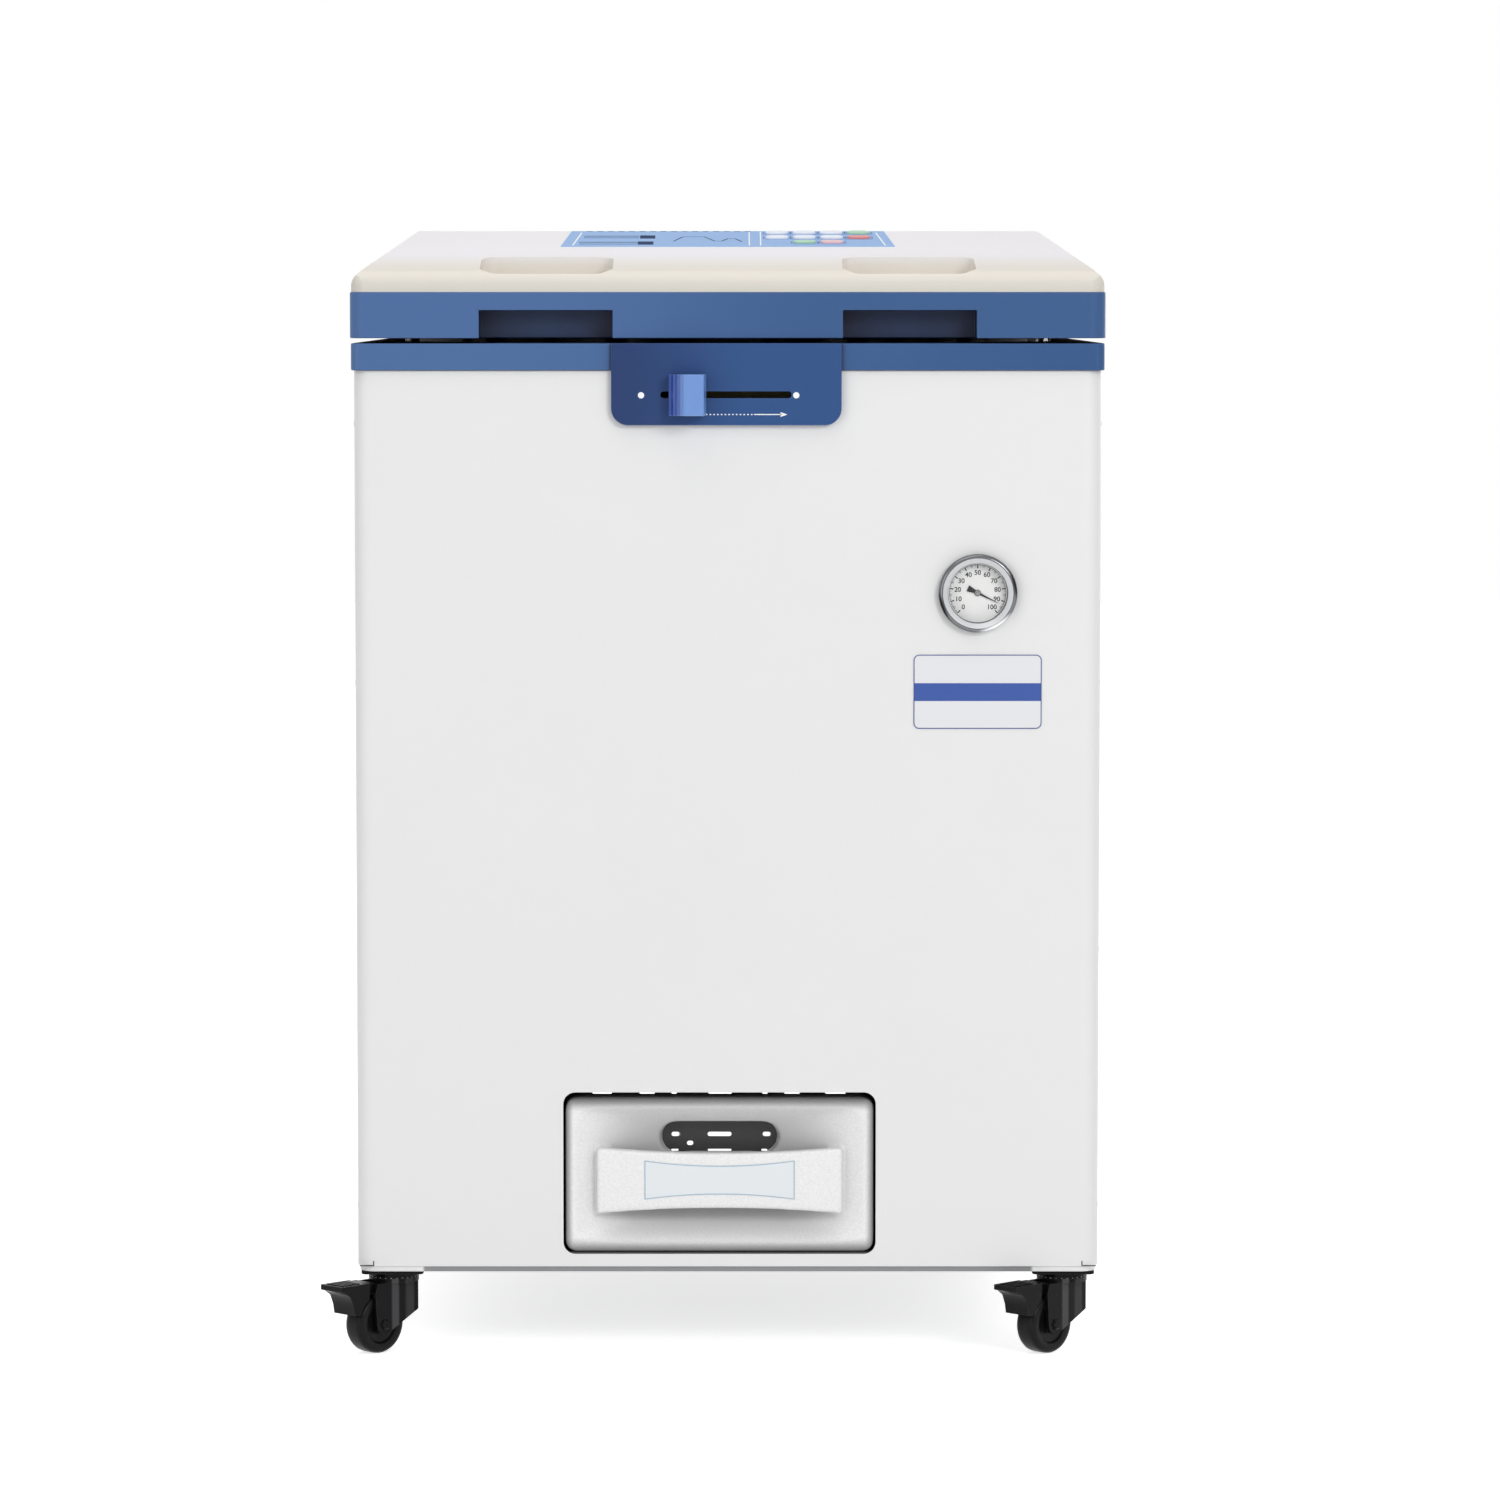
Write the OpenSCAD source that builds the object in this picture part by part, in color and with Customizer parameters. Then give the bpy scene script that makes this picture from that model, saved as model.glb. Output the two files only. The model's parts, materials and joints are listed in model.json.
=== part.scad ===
// Top-loading laboratory autoclave on casters, in millimetres.
// X runs to the right, Y to the rear, Z up. The origin is on the floor under the chamber's axis.

/* [Cabinet] */
// Distance from the chamber's wall to the outside of a side panel
side_space = 79; // [72:1:110]
// Distance from the chamber's wall to the outside of the front and rear panels
front_space = 80; // [72:1:110]
// Height of the cabinet above the casters
cab_h = 750; // [700:1:850]
// Thickness of the panel sheet
sheet = 1.5; // [1:0.1:2.5]
// Radius of the upright corners
corner_r = 15; // [10:1:24]
// Height of the blue rim
rim_h = 22.5; // [18:0.5:30]
// How far the rim stands proud of the front panel
rim_proud = 3; // [1:0.5:5]
// Thickness of the rim's skirt and deck
rim_t = 2.5; // [1.5:0.1:4]

/* [Lid] */
// Gap between rim and lid
lid_gap = 4; // [2:0.5:6]
// Height of the blue lid band
band_h = 38; // [34:1:50]
// Wall of the lid's mouldings
lid_t = 3; // [2:0.5:4]
// Height of the ivory cover above the band
crest_h = 52; // [46:0.5:60]
// Distance from the lid's front edge to the crest
crest_s = 210; // [180:1:240]
// Distance from the cover's side to its flat top
crest_in = 46; // [40:1:48]
// Slope of the front face in degrees
slope_a = 9.6; // [8.5:0.1:10.5]
// Slope of the side faces in degrees
side_a = 42.6; // [38:0.1:44]
// Width of a grip recess or finger notch
grip_w = 110; // [90:1:120]
// Distance of each grip from the middle
grip_x = 150; // [130:1:160]

/* [Vessel and lock] */
// Inner radius of the chamber
vessel_r = 230; // [220:1:260]
// Wall of the chamber
vessel_t = 3; // [2:0.5:4]
// Straight height of the chamber
chamber_h = 534; // [480:1:560]
// Depth of the dished bottom
dish_h = 60; // [50:1:70]
// Thickness of the chamber's flange
flange_h = 14; // [10:1:18]
// Number of bayonet lugs
lug_n = 12; // [8:1:14]
// Angle that one lug covers, in degrees
lug_a = 13; // [10:0.5:13]
// Thickness of the insulation
jacket_t = 25; // [15:1:27]

/* [Latch] */
// Width of the latch housing
latch_w = 190; // [170:1:210]
// Height of the latch housing
latch_h = 67.5; // [60:0.5:80]
// How far the housing stands proud of the front panel
latch_proud = 6; // [5:0.5:10]
// Length of the slot
slot_w = 108; // [106:1:120]
// Height of the slot
slot_h = 5.5; // [5:0.1:8]
// Width of the lock knob
knob_w = 30; // [24:1:32]
// Height of the lock knob
knob_h = 34; // [28:1:40]
// Depth of the lock knob
knob_d = 20; // [14:1:22]

/* [Controls] */
// Width of the control overlay at its front edge
overlay_w = 282; // [276:1:300]
// Width of the control overlay at its back edge
overlay_back_w = 267; // [262:1:280]
// Length of the control overlay up the slope
overlay_d = 81; // [80:1:90]
// Thickness of the control overlay
overlay_t = 0.6; // [0.4:0.1:1]
// Width of a key
key_w = 19.5; // [16:0.5:21]
// Length of a key up the slope
key_d = 12; // [10:0.5:14]
// Travel of a key
key_travel = 0.8; // [0.4:0.1:0.8]

/* [Gauge and plate] */
// Outer diameter of the gauge bezel
bezel_d = 65; // [60:1:72]
// Diameter of the visible dial
dial_d = 49.5; // [46:0.5:52]
// Distance of the gauge from the middle
gauge_x = 206.7; // [180:0.1:220]
// Height of the gauge below the top of the front panel
gauge_drop = 183.7; // [160:0.1:220]
// Width of the information plate
plate_w = 106.5; // [90:0.5:120]
// Height of the information plate
plate_h = 62; // [50:1:70]

/* [Drain tank] */
// Width of the window in the front panel
window_w = 260; // [250:1:280]
// Height of the window in the front panel
window_h = 135.5; // [130:0.5:150]
// Length of the tank
tank_d = 142; // [130:1:146]
// Wall of the tank
tank_t = 3; // [2:0.5:4]
// Depth of the bowl behind the grip bar
bowl_h = 36; // [30:1:40]

/* [Casters] */
// Overall height of a caster
caster_h = 70; // [66:1:80]
// Radius of a caster wheel
wheel_r = 25; // [22:0.5:26]
// Width of a caster wheel
wheel_w = 20; // [16:1:22]
// Distance of the wheel's axle behind the swivel axis
trail = 22; // [18:1:26]
// Distance of the swivel axes from the cabinet's sides
caster_inset = 29; // [27:1:40]
// Reach of the brake pedal from the swivel axis
pedal_reach = 70; // [68:1:84]

/* [Hidden] */
$fn = 72;
over = 1;
fit = 0.05;
gap = 0.3;

cab_w = 2 * (vessel_r + side_space);
cab_d = 2 * (vessel_r + front_space);
foot_gap = 4.5;
base_z = caster_h;
panel_z = base_z + foot_gap;
cab_top = base_z + cab_h;
rim_top = cab_top + rim_h;
band_z = rim_top + lid_gap;
cover_z = band_z + band_h;
front_y = -cab_d / 2;
rear_y = cab_d / 2;

return_d = 20;
panel_seam = 0.6;

rim_side = 2;
rim_w = cab_w + 2 * rim_side;
rim_d = cab_d + 2 * rim_proud;
rim_r = 8;
lid_side = 1;
lid_w = rim_w + 2 * lid_side;
lid_d = rim_d;
band_r = 14;
cover_in = 1;
cover_w = lid_w - 2 * cover_in;
cover_d = lid_d - 2 * cover_in;
crest_half = cover_w / 2 - crest_in;
edge_r = 13;
grip_r = 14;
recess_front = 4.2;
recess_back = 75;
notch_h = 23;
notch_d = 28;
underside_rise = 2;
underside_t = 2;
ledge_w = 12;

pan_t = 3;
pan_flange = 14;
pan_top = base_z + pan_t;

flange_sink = 8.5;
flange_top = rim_top - flange_sink;
flange_w = 32;
flange_r = vessel_r + flange_w;
dish_z = flange_top - chamber_h;
shell_r = vessel_r + vessel_t;
nozzle_r = 10;
nozzle_bore = 8;
nozzle_l = 28;
nozzle_drop = 114;
riser_out = 67;
riser_r = shell_r + riser_out;
riser_a = 45;
jacket_foot = 5;
jacket_head = 15;

gasket_h = 3.7;
gasket_in = 4;
gasket_w = 12;
gasket_inner = vessel_r + gasket_in;
gasket_outer = gasket_inner + gasket_w;
plate_z = flange_top + gap + gasket_h;
plate_t = 10;
plate_over = 20;
plate_r = vessel_r + plate_over;
lug_l = 18;
lid_lug_r = plate_r + lug_l;
dome_over = 5;
dome_foot = 13;
dome_r = vessel_r + dome_over;
dome_inner_r = dome_r - dome_foot;
dome_h = 45;
dome_t = 4;
boss_r = 30;

ring_gap = 10;
ring_in = flange_r + ring_gap;
ring_t = 10;
ring_out = ring_in + ring_t;
lug_gap = 4;
ring_lug_in = plate_r + lug_gap;
lock_gap = 0.5;
ring_lug_z = plate_z + plate_t + lock_gap;
ring_lug_h = 10.5;
lip_h = 8;
lip_z = flange_top - flange_h - gap - lip_h;
lip_w = 12;
lip_in = flange_r - lip_w;
mouth_gap = 7;
mouth_r = ring_out + mouth_gap;
lug_pitch = 360 / lug_n;

latch_x = -1.2;
latch_r = 14;
latch_wall = 2.5;
slot_x = -1.5;
slot_drop = 19.9;
slot_z = cab_top - slot_drop;
knob_x = -31.5;
knob_gap = 5.5;
lever_a = asin(knob_x / -front_y);
lever_h = 4;
lever_w = 12;
lever_foot = 8;
lever_tip = 12;
knob_back = -front_y + latch_proud + knob_gap;

overlay_back = 3;
key_x = 41.8;
key_pitch_x = 23.2;
key_row = 15;
key_pitch_y = 25;
key_rise = 1.6;
key_gap = 0.4;
key_depth = 5.6;
board_t = 1.6;
board_w = 106;
board_d = 78;
standoff_r = 3;
KEYS = [[0, 0], [0, 1], [1, 0], [1, 1], [1, 2], [2, 0], [2, 1], [2, 2], [3, 0], [3, 1]];

gauge_z = cab_top - gauge_drop;
bezel_proud = 8;
bezel_round = 3;
case_d = 35;
case_t = 1.5;
glass_t = 2;
glass_back = 1.5;
dial_t = 1;
dial_back = 6;
needle_t = 0.8;
needle_l = 20;
needle_tail = 9;
needle_hub = 2.6;
spindle_r = 1;
needle_rest = 116;
label_drop = 81.6;
label_z = gauge_z - label_drop;
label_t = 0.8;
label_r = 5;

window_x = -6.9;
window_up = 15.1;
window_z = base_z + window_up;
window_r = 10;
tank_gap = 1.7;
tank_head = 5;
tank_in = 2;
tank_w = window_w - 2 * tank_gap;
tank_z = window_z + tank_gap;
tank_h = window_h - tank_gap - tank_head;
tank_front = front_y + tank_in;
tank_mid = tank_z + tank_h / 2;
tank_r = 9;
bowl_side = 8;
bowl_w = tank_w - 2 * bowl_side;
bowl_tall = tank_h - 2 * bowl_side;
bar_in = 17.8;
bar_w = bowl_w - 2 * bar_in;
bar_end_h = 55.5;
bar_mid_h = 46;
bar_drop = 5.4;
bar_t = 13;
bar_sink = 1;
hole_w = 98.7;
hole_h = 29;
hole_up = 27.8;
hole_depth = 38;
insert_t = 1.5;
face_d = hole_depth + insert_t + tank_t;
filler_r = 16;
filler_back = 40;
bay_t = 1.5;
bay_gap = 4;
bay_back = tank_front + tank_d + bay_gap;

post_w = 25;
post_t = 2.5;
post_in = 9;
rail_h = 25;
rail_drop = 70;
rail_z = cab_top - rail_drop;
leg_r = 12;
leg_gap = 1.6;
leg_in = 15;
leg_x = window_w / 2 - window_x + bay_t + leg_r + leg_gap;
leg_y = sqrt(pow(vessel_r - leg_in, 2) - leg_x * leg_x);

turn_front = 225;
turn_rear = 45;
axle_r = 3;
king_r = 4;
head_r = 21;
head_t = 4;
plate_side = 52;
mount_t = 3;
head_z = base_z - mount_t - head_t;
fork_z = head_z - gap - head_t;
cheek_t = 3;
cheek_gap = 1;
cheek_in = wheel_w / 2 + cheek_gap;
crown_gap = 2;
crown_in = 7;
brake_ahead = 2;
brake_above = 5;
brake_x = trail + brake_ahead;
brake_z = wheel_r * 2 + brake_above;
brake_r = 2;
fork_back = 15;
shoe_a = 21.8;
shoe_end_a = 66;
PEDAL_SHARES = [[0.22, 1], [1, 1], [1, 0.83], [0.91, 0.78], [0.78, 0.62], [0.71, 0.31], [0.68, 0]];
knuckle_r = 3.3;
shoe_gap = 3.5;
pedal_w = 26;
pedal_rise = 3;

hinge_behind = 18;
hinge_up = 1.5;
hinge_y = rear_y + hinge_behind;
hinge_z = band_z + hinge_up;
hinge_x = 180;
hinge_r = 5;
hinge_out = 9;
hinge_w = 30;
ear_t = 5;
ear_gap = 0.5;
ear_drop = 60;

spigot_r = 7.5;
spigot_bore = 5.5;
spigot_l = 22;
hex_r = 14;
drain_up = 80;
drain_z = base_z + drain_up;
exhaust_up = 50;
exhaust_z = base_z + exhaust_up;
riser_x = riser_r * cos(riser_a);
inlet_in = 119;
inlet_x = inlet_in - cab_w / 2;
inlet_up = 90;
inlet_z = base_z + inlet_up;
inlet_w = 90;
inlet_h = 60;
inlet_t = 2;
rocker_w = 20;
rocker_h = 28;
rocker_t = 12;
rocker_r = 2;
rocker_gap = 1;
rocker_x = 20;
gland_r = 13;
gland_bore = 7;
gland_l = 20;
vent_w = 70;
vent_h = 5;
vent_n = 9;
vent_pitch = 14;
vent_x = 90;
vent_drop = 260;
vent_z = cab_top - vent_drop;
screw_r = 2;
screw_head = 4;
screw_head_t = 2.2;
screw_l = 3;
screw_in = 30;
SCREW_SHARES = [0.06, 0.35, 0.65, 0.94];

// Shared shapes

module rrect(w, d, r) {
    square([w - 2 * r, d], center = true);
    square([w, d - 2 * r], center = true);
    for (sx = [-1, 1], sy = [-1, 1])
        translate([sx * (w / 2 - r), sy * (d / 2 - r)]) circle(r);
}

// An oval with half-round ends
module oval(w, h) {
    square([w - h, h], center = true);
    for (s = [-1, 1]) translate([s * (w - h) / 2, 0]) circle(h / 2);
}

// A slab whose outline is drawn in X and Z, from y_back forwards by t
module front_slab(y_back, t) {
    translate([0, y_back, 0]) rotate([90, 0, 0]) linear_extrude(t) children();
}

// A slab whose outline is drawn in Y and Z, from x_left to the right by t
module side_slab(x_left, t) {
    translate([x_left, 0, 0]) rotate([90, 0, 90]) linear_extrude(t) children();
}

// A round rod along Y from y_front to the rear by l
module rod_y(r, y_front, l) {
    translate([0, y_front, 0]) rotate([-90, 0, 0]) cylinder(r = r, h = l);
}

module tube(r, bore, h) {
    difference() {
        cylinder(r = r, h = h);
        translate([0, 0, -over]) cylinder(r = bore, h = h + 2 * over);
    }
}

function arc(c, r, from, to, n) =
    [for (i = [0:n]) let (a = from + (to - from) * i / n) [c[0] + r * cos(a), c[1] + r * sin(a)]];

// Cabinet

module shell_plan() {
    difference() {
        rrect(cab_w, cab_d, corner_r);
        rrect(cab_w - 2 * sheet, cab_d - 2 * sheet, corner_r - sheet);
    }
}

module end_plan() {
    intersection() {
        shell_plan();
        translate([-cab_w / 2, front_y]) square([cab_w, return_d]);
    }
}

module base_pan() {
    w = cab_w - 2 * sheet - 2 * gap;
    d = cab_d - 2 * sheet - 2 * gap;
    color("gainsboro") translate([0, 0, base_z]) {
        linear_extrude(pan_t) rrect(w, d, corner_r - sheet);
        linear_extrude(pan_flange) difference() {
            rrect(w, d, corner_r - sheet);
            rrect(w - 2 * pan_t, d - 2 * pan_t, corner_r - sheet - pan_t);
        }
    }
}

module front_panel() {
    color("whitesmoke") difference() {
        translate([0, 0, panel_z]) linear_extrude(cab_top - panel_z) end_plan();
        front_slab(front_y + return_d / 2, return_d) {
            translate([window_x, window_z + window_h / 2])
                rrect(window_w, window_h, window_r);
            translate([slot_x, slot_z]) square([slot_w + 2 * over, 2 * slot_h], center = true);
            translate([gauge_x, gauge_z]) circle(dial_d / 2 + case_t + gap);
        }
    }
}

module side_panel(side) {
    color("whitesmoke") difference() {
        translate([0, 0, panel_z]) linear_extrude(cab_top - panel_z) intersection() {
            shell_plan();
            translate([side * cab_w / 2, 0])
                square([2 * return_d, cab_d - 2 * return_d - 2 * panel_seam], center = true);
        }
        screws_side(side, screw_r + gap);
    }
}

module side_panel_left() side_panel(-1);
module side_panel_right() side_panel(1);

// Shanks of the screws along one side panel, of radius r
module screws_side(side, r) {
    for (share = SCREW_SHARES, y = [-1, 1])
        translate([side * cab_w / 2, y * (rear_y - return_d - screw_in),
            panel_z + share * (cab_top - panel_z)])
            rotate([0, -side * 90, 0]) shank(r);
}

// Shanks of the screws along the rear panel, of radius r
module screws_rear(r) {
    for (share = SCREW_SHARES, x = [-1, 1])
        translate([x * (cab_w / 2 - screw_in), rear_y,
            panel_z + share * (cab_top - panel_z)])
            rotate([90, 0, 0]) shank(r);
}

module shank(r) {
    translate([0, 0, -over]) cylinder(r = r, h = screw_l + over);
}

module rear_holes() {
    translate([0, drain_z]) circle(spigot_r + hex_r / 2);
    translate([riser_x, exhaust_z]) circle(spigot_r + hex_r / 2);
    translate([inlet_x, inlet_z]) square([inlet_w - hex_r, inlet_h - hex_r], center = true);
    for (s = [-1, 1], i = [0:vent_n - 1])
        translate([s * vent_x, vent_z + i * vent_pitch]) oval(vent_w, vent_h);
}

module rear_panel() {
    color("whitesmoke") difference() {
        translate([0, 0, panel_z]) linear_extrude(cab_top - panel_z) mirror([0, 1]) end_plan();
        front_slab(rear_y + over, 2 * over + sheet) rear_holes();
        screws_rear(screw_r + gap);
    }
}

module top_rim() {
    color("steelblue") difference() {
        translate([0, 0, cab_top]) linear_extrude(rim_h) rrect(rim_w, rim_d, rim_r);
        translate([0, 0, cab_top - over]) linear_extrude(rim_h - rim_t + over)
            rrect(rim_w - 2 * rim_t, rim_d - 2 * rim_t, rim_r - rim_t);
        translate([0, 0, cab_top]) cylinder(r = mouth_r, h = rim_h + over);
    }
}

module inner_frame() {
    x = cab_w / 2 - post_in;
    y = cab_d / 2 - post_in;
    color("silver") {
        for (sx = [-1, 1], sy = [-1, 1]) {
            translate([sx * x, sy * y, pan_top])
                mirror([sx > 0 ? 1 : 0, 0]) mirror([0, sy > 0 ? 1 : 0])
                linear_extrude(rim_top - rim_t - pan_top) {
                    square([post_w, post_t]);
                    square([post_t, post_w]);
                }
            difference() {
                translate([sx * leg_x, sy * leg_y, pan_top]) cylinder(r = leg_r, h = dish_z - pan_top);
                vessel_hull(gap);
            }
        }
        for (s = [-1, 1]) {
            translate([s * (x - post_t / 2), 0, rail_z])
                linear_extrude(rail_h) square([post_t, 2 * (y - post_w - gap)], center = true);
            translate([0, s * (y - post_t / 2), rail_z])
                linear_extrude(rail_h) square([2 * (x - post_w - gap), post_t], center = true);
        }
    }
}

// Vessel and what it holds

function dish(r, h) = [for (i = [0:6]) [r * cos(15 * i), dish_z - h * sin(15 * i)]];
function dish_back(r, h) = [for (i = [6:-1:0]) [r * cos(15 * i), dish_z - h * sin(15 * i)]];

// The vessel's outside, grown by extra, below its flange
module vessel_hull(extra) {
    rotate_extrude() polygon(concat(
        [[0, flange_top - flange_h], [shell_r + extra, flange_top - flange_h]],
        dish(shell_r + extra, dish_h + extra)));
}

module vessel() {
    color("silver") difference() {
        union() {
            rotate_extrude() polygon(concat(
                [[vessel_r, flange_top], [flange_r, flange_top], [flange_r, flange_top - flange_h],
                    [shell_r, flange_top - flange_h]],
                dish(shell_r, dish_h), dish_back(vessel_r, dish_h - vessel_t)));
            translate([0, 0, dish_z - dish_h - nozzle_l]) cylinder(r = nozzle_r, h = nozzle_l + over);
            rotate([0, 0, riser_a]) translate([shell_r - over, 0, flange_top - nozzle_drop])
                rotate([0, 90, 0]) cylinder(r = nozzle_r, h = jacket_t + 2 * nozzle_r);
        }
        translate([0, 0, dish_z - dish_h - nozzle_l - over])
            cylinder(r = nozzle_bore, h = nozzle_l + 3 * vessel_t);
        rotate([0, 0, riser_a]) translate([vessel_r - nozzle_r, 0, flange_top - nozzle_drop])
            rotate([0, 90, 0]) cylinder(r = nozzle_bore, h = jacket_t + 5 * nozzle_r);
        heater_pins(heater_pin_r + gap);
    }
}

module insulation_jacket() {
    inner = shell_r + gap;
    color("khaki") difference() {
        translate([0, 0, dish_z + jacket_foot])
            tube(inner + jacket_t, inner, chamber_h - flange_h - jacket_foot - jacket_head);
        rotate([0, 0, riser_a]) translate([vessel_r, 0, flange_top - nozzle_drop])
            rotate([0, 90, 0]) cylinder(r = nozzle_r + over, h = jacket_t + 2 * nozzle_r);
    }
}

heater_r = 5;
heater_loop = 150;
heater_drop = 28;
heater_z = dish_z - heater_drop;
heater_pin_x = 24;
heater_pin_r = 4;

module heater_pins(r) {
    for (s = [-1, 1])
        translate([s * heater_pin_x, sqrt(heater_loop * heater_loop - heater_pin_x * heater_pin_x),
            dish_z - dish_h]) cylinder(r = r, h = heater_z - dish_z + dish_h);
}

module heater_element() {
    color("dimgray") {
        translate([0, 0, heater_z]) rotate_extrude()
            translate([heater_loop, 0]) circle(heater_r, $fn = 32);
        heater_pins(heater_pin_r);
    }
}

screen_t = 2;
screen_gap = 4;
screen_r = vessel_r - screen_gap;
skirt_in = 28;
skirt_r = vessel_r - skirt_in;
screen_hole = 5;
SCREEN_RING_SHARES = [0.25, 0.5, 0.75];

module chamber_screen() {
    foot_z = dish_z - (dish_h - vessel_t) * sqrt(1 - pow(skirt_r / vessel_r, 2)) + 2 * gap;
    color("gainsboro") {
        difference() {
            translate([0, 0, dish_z]) cylinder(r = screen_r, h = screen_t);
            for (i = [0:2], k = [0:6 * (i + 1) - 1])
                rotate([0, 0, k * 60 / (i + 1)])
                    translate([SCREEN_RING_SHARES[i] * screen_r, 0, dish_z - over])
                    cylinder(r = screen_hole, h = screen_t + 2 * over);
        }
        translate([0, 0, foot_z]) tube(skirt_r, skirt_r - screen_t, dish_z - foot_z);
    }
}

// Latch, lock ring and knob

module latch_outline() {
    translate([latch_x, rim_top - latch_h / 2]) {
        rrect(latch_w, latch_h, latch_r);
        translate([-latch_w / 2, 0]) square([latch_w, latch_h / 2]);
    }
}

module latch_housing() {
    color("steelblue") difference() {
        front_slab(front_y, latch_proud) latch_outline();
        translate([-latch_w, -rim_d / 2, cab_top]) cube([2 * latch_w, rim_d, rim_h + over]);
        front_slab(front_y + over, latch_proud + 2 * over)
            translate([slot_x, slot_z]) oval(slot_w, slot_h);
        front_slab(front_y + over, latch_proud - latch_wall + over) translate([slot_x, slot_z])
            square([slot_w + slot_h, 3 * slot_h], center = true);
    }
}

module lugs(r_in, r_out, z, h, a) {
    for (i = [0:lug_n - 1]) rotate([0, 0, a + i * lug_pitch - lug_a / 2])
        translate([0, 0, z]) rotate_extrude(angle = lug_a)
        translate([r_in, 0]) square([r_out - r_in, h]);
}

module lever_blade() {
    translate([-lever_w / 2, -knob_back - lever_tip, slot_z - lever_h / 2])
        cube([lever_w, knob_back + lever_tip - ring_in - lever_foot / 2, lever_h]);
}

module lock_ring() {
    color("gray") {
        translate([0, 0, lip_z]) tube(ring_out, ring_in, ring_lug_z + ring_lug_h - lip_z);
        translate([0, 0, lip_z]) tube(ring_in + over, lip_in, lip_h);
        lugs(ring_lug_in, ring_in + over, ring_lug_z, ring_lug_h, lug_pitch / 2);
        rotate([0, 0, lever_a]) {
            translate([-lever_foot, -ring_out + over, slot_z - lever_h / 2])
                cube([2 * lever_foot, lever_foot - over, lip_z + over - slot_z + lever_h / 2]);
            lever_blade();
        }
    }
}

KNOB_SHARES = [[-0.5, 0], [0.5, 0], [0.5, 0.94], [0.44, 1], [-0.04, 1], [-0.1, 0.93],
    [-0.15, 0.93], [-0.2, 0.86], [-0.25, 0.86], [-0.3, 0.76], [-0.35, 0.76], [-0.42, 0.6],
    [-0.5, 0.5]];

module lock_knob() {
    color("cornflowerblue") rotate([0, 0, lever_a]) difference() {
        translate([0, 0, slot_z - knob_h / 2 - 0.5 * fit]) linear_extrude(knob_h)
            polygon([for (p = KNOB_SHARES) [p[0] * knob_w, -knob_back - p[1] * knob_d]]);
        translate([-lever_w / 2 - gap, -knob_back - lever_tip - gap, slot_z - lever_h / 2 - gap])
            cube([lever_w + 2 * gap, lever_tip + gap + over, lever_h + 2 * gap]);
    }
}

// Lid

// Where the slope meets the flat top, in a view inset by t
function slope_end(t) = crest_s + t * tan(slope_a / 2);
function edge_z() = crest_h - (crest_s - edge_r + edge_r * sin(slope_a)) * tan(slope_a)
    - edge_r * cos(slope_a);
function side_z() = crest_h - (cover_w / 2 - edge_r + edge_r * sin(side_a) - crest_half) * tan(side_a)
    - edge_r * cos(side_a);

// The cover from the side, with its front edge at 0, inset by t
module side_view(t) {
    polygon(concat(
        [[t, -over]], arc([edge_r, edge_z()], edge_r - t, 180, 90 + slope_a, 5),
        [[slope_end(t), crest_h - t]],
        arc([cover_d - edge_r, crest_h - edge_r], edge_r - t, 90, 0, 5), [[cover_d - t, -over]]));
}

module front_view(t) {
    right = concat([[cover_w / 2 - t, -over]],
        arc([cover_w / 2 - edge_r, side_z()], edge_r - t, 0, 90 - side_a, 4),
        [[crest_half - t * tan(side_a / 2), crest_h - t]]);
    polygon(concat(right, [for (i = [len(right) - 1:-1:0]) [-right[i][0], right[i][1]]]));
}

module cover_form(t) {
    intersection() {
        translate([0, -cover_d / 2, cover_z]) side_slab(-cover_w / 2, cover_w) side_view(t);
        translate([0, cover_d / 2, cover_z]) rotate([90, 0, 0]) linear_extrude(cover_d) front_view(t);
        translate([0, 0, cover_z - t]) linear_extrude(crest_h + t)
            rrect(cover_w - 2 * t, cover_d - 2 * t, band_r - t);
    }
}

module recess_plan(extra) {
    for (s = [-1, 1])
        translate([s * grip_x, (recess_front + recess_back) / 2 - cover_d / 2])
            rrect(grip_w + extra, recess_back - recess_front + extra, grip_r + extra / 2);
}

module on_slope() {
    translate([0, crest_s - cover_d / 2, cover_z + crest_h]) rotate([slope_a, 0, 0]) children();
}

module at_key(i) {
    on_slope() translate([key_x + KEYS[i][0] * key_pitch_x, -key_row - KEYS[i][1] * key_pitch_y, 0])
        children();
}

module key_holes() {
    for (i = [0:len(KEYS) - 1]) at_key(i) translate([0, 0, -2 * lid_t])
        linear_extrude(3 * lid_t) oval(key_w + 2 * key_gap, key_d + 2 * key_gap);
}

module lid_cover() {
    color("ivory") difference() {
        intersection() {
            cover_form(0);
            translate([0, 0, cover_z]) union() {
                difference() {
                    translate([0, 0, -over]) linear_extrude(crest_h + 2 * over)
                        square([2 * cover_w, 2 * cover_d], center = true);
                    translate([0, 0, -cover_z]) cover_form(lid_t);
                }
                linear_extrude(crest_h) recess_plan(2 * lid_t);
            }
        }
        translate([0, 0, cover_z + lid_t]) linear_extrude(crest_h) recess_plan(0);
        key_holes();
    }
}

module notch_boxes(extra, low) {
    for (s = [-1, 1])
        translate([s * grip_x - grip_w / 2 - extra, -lid_d / 2, band_z - low])
            cube([grip_w + 2 * extra, notch_d + extra, notch_h + extra + low]);
}

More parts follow.
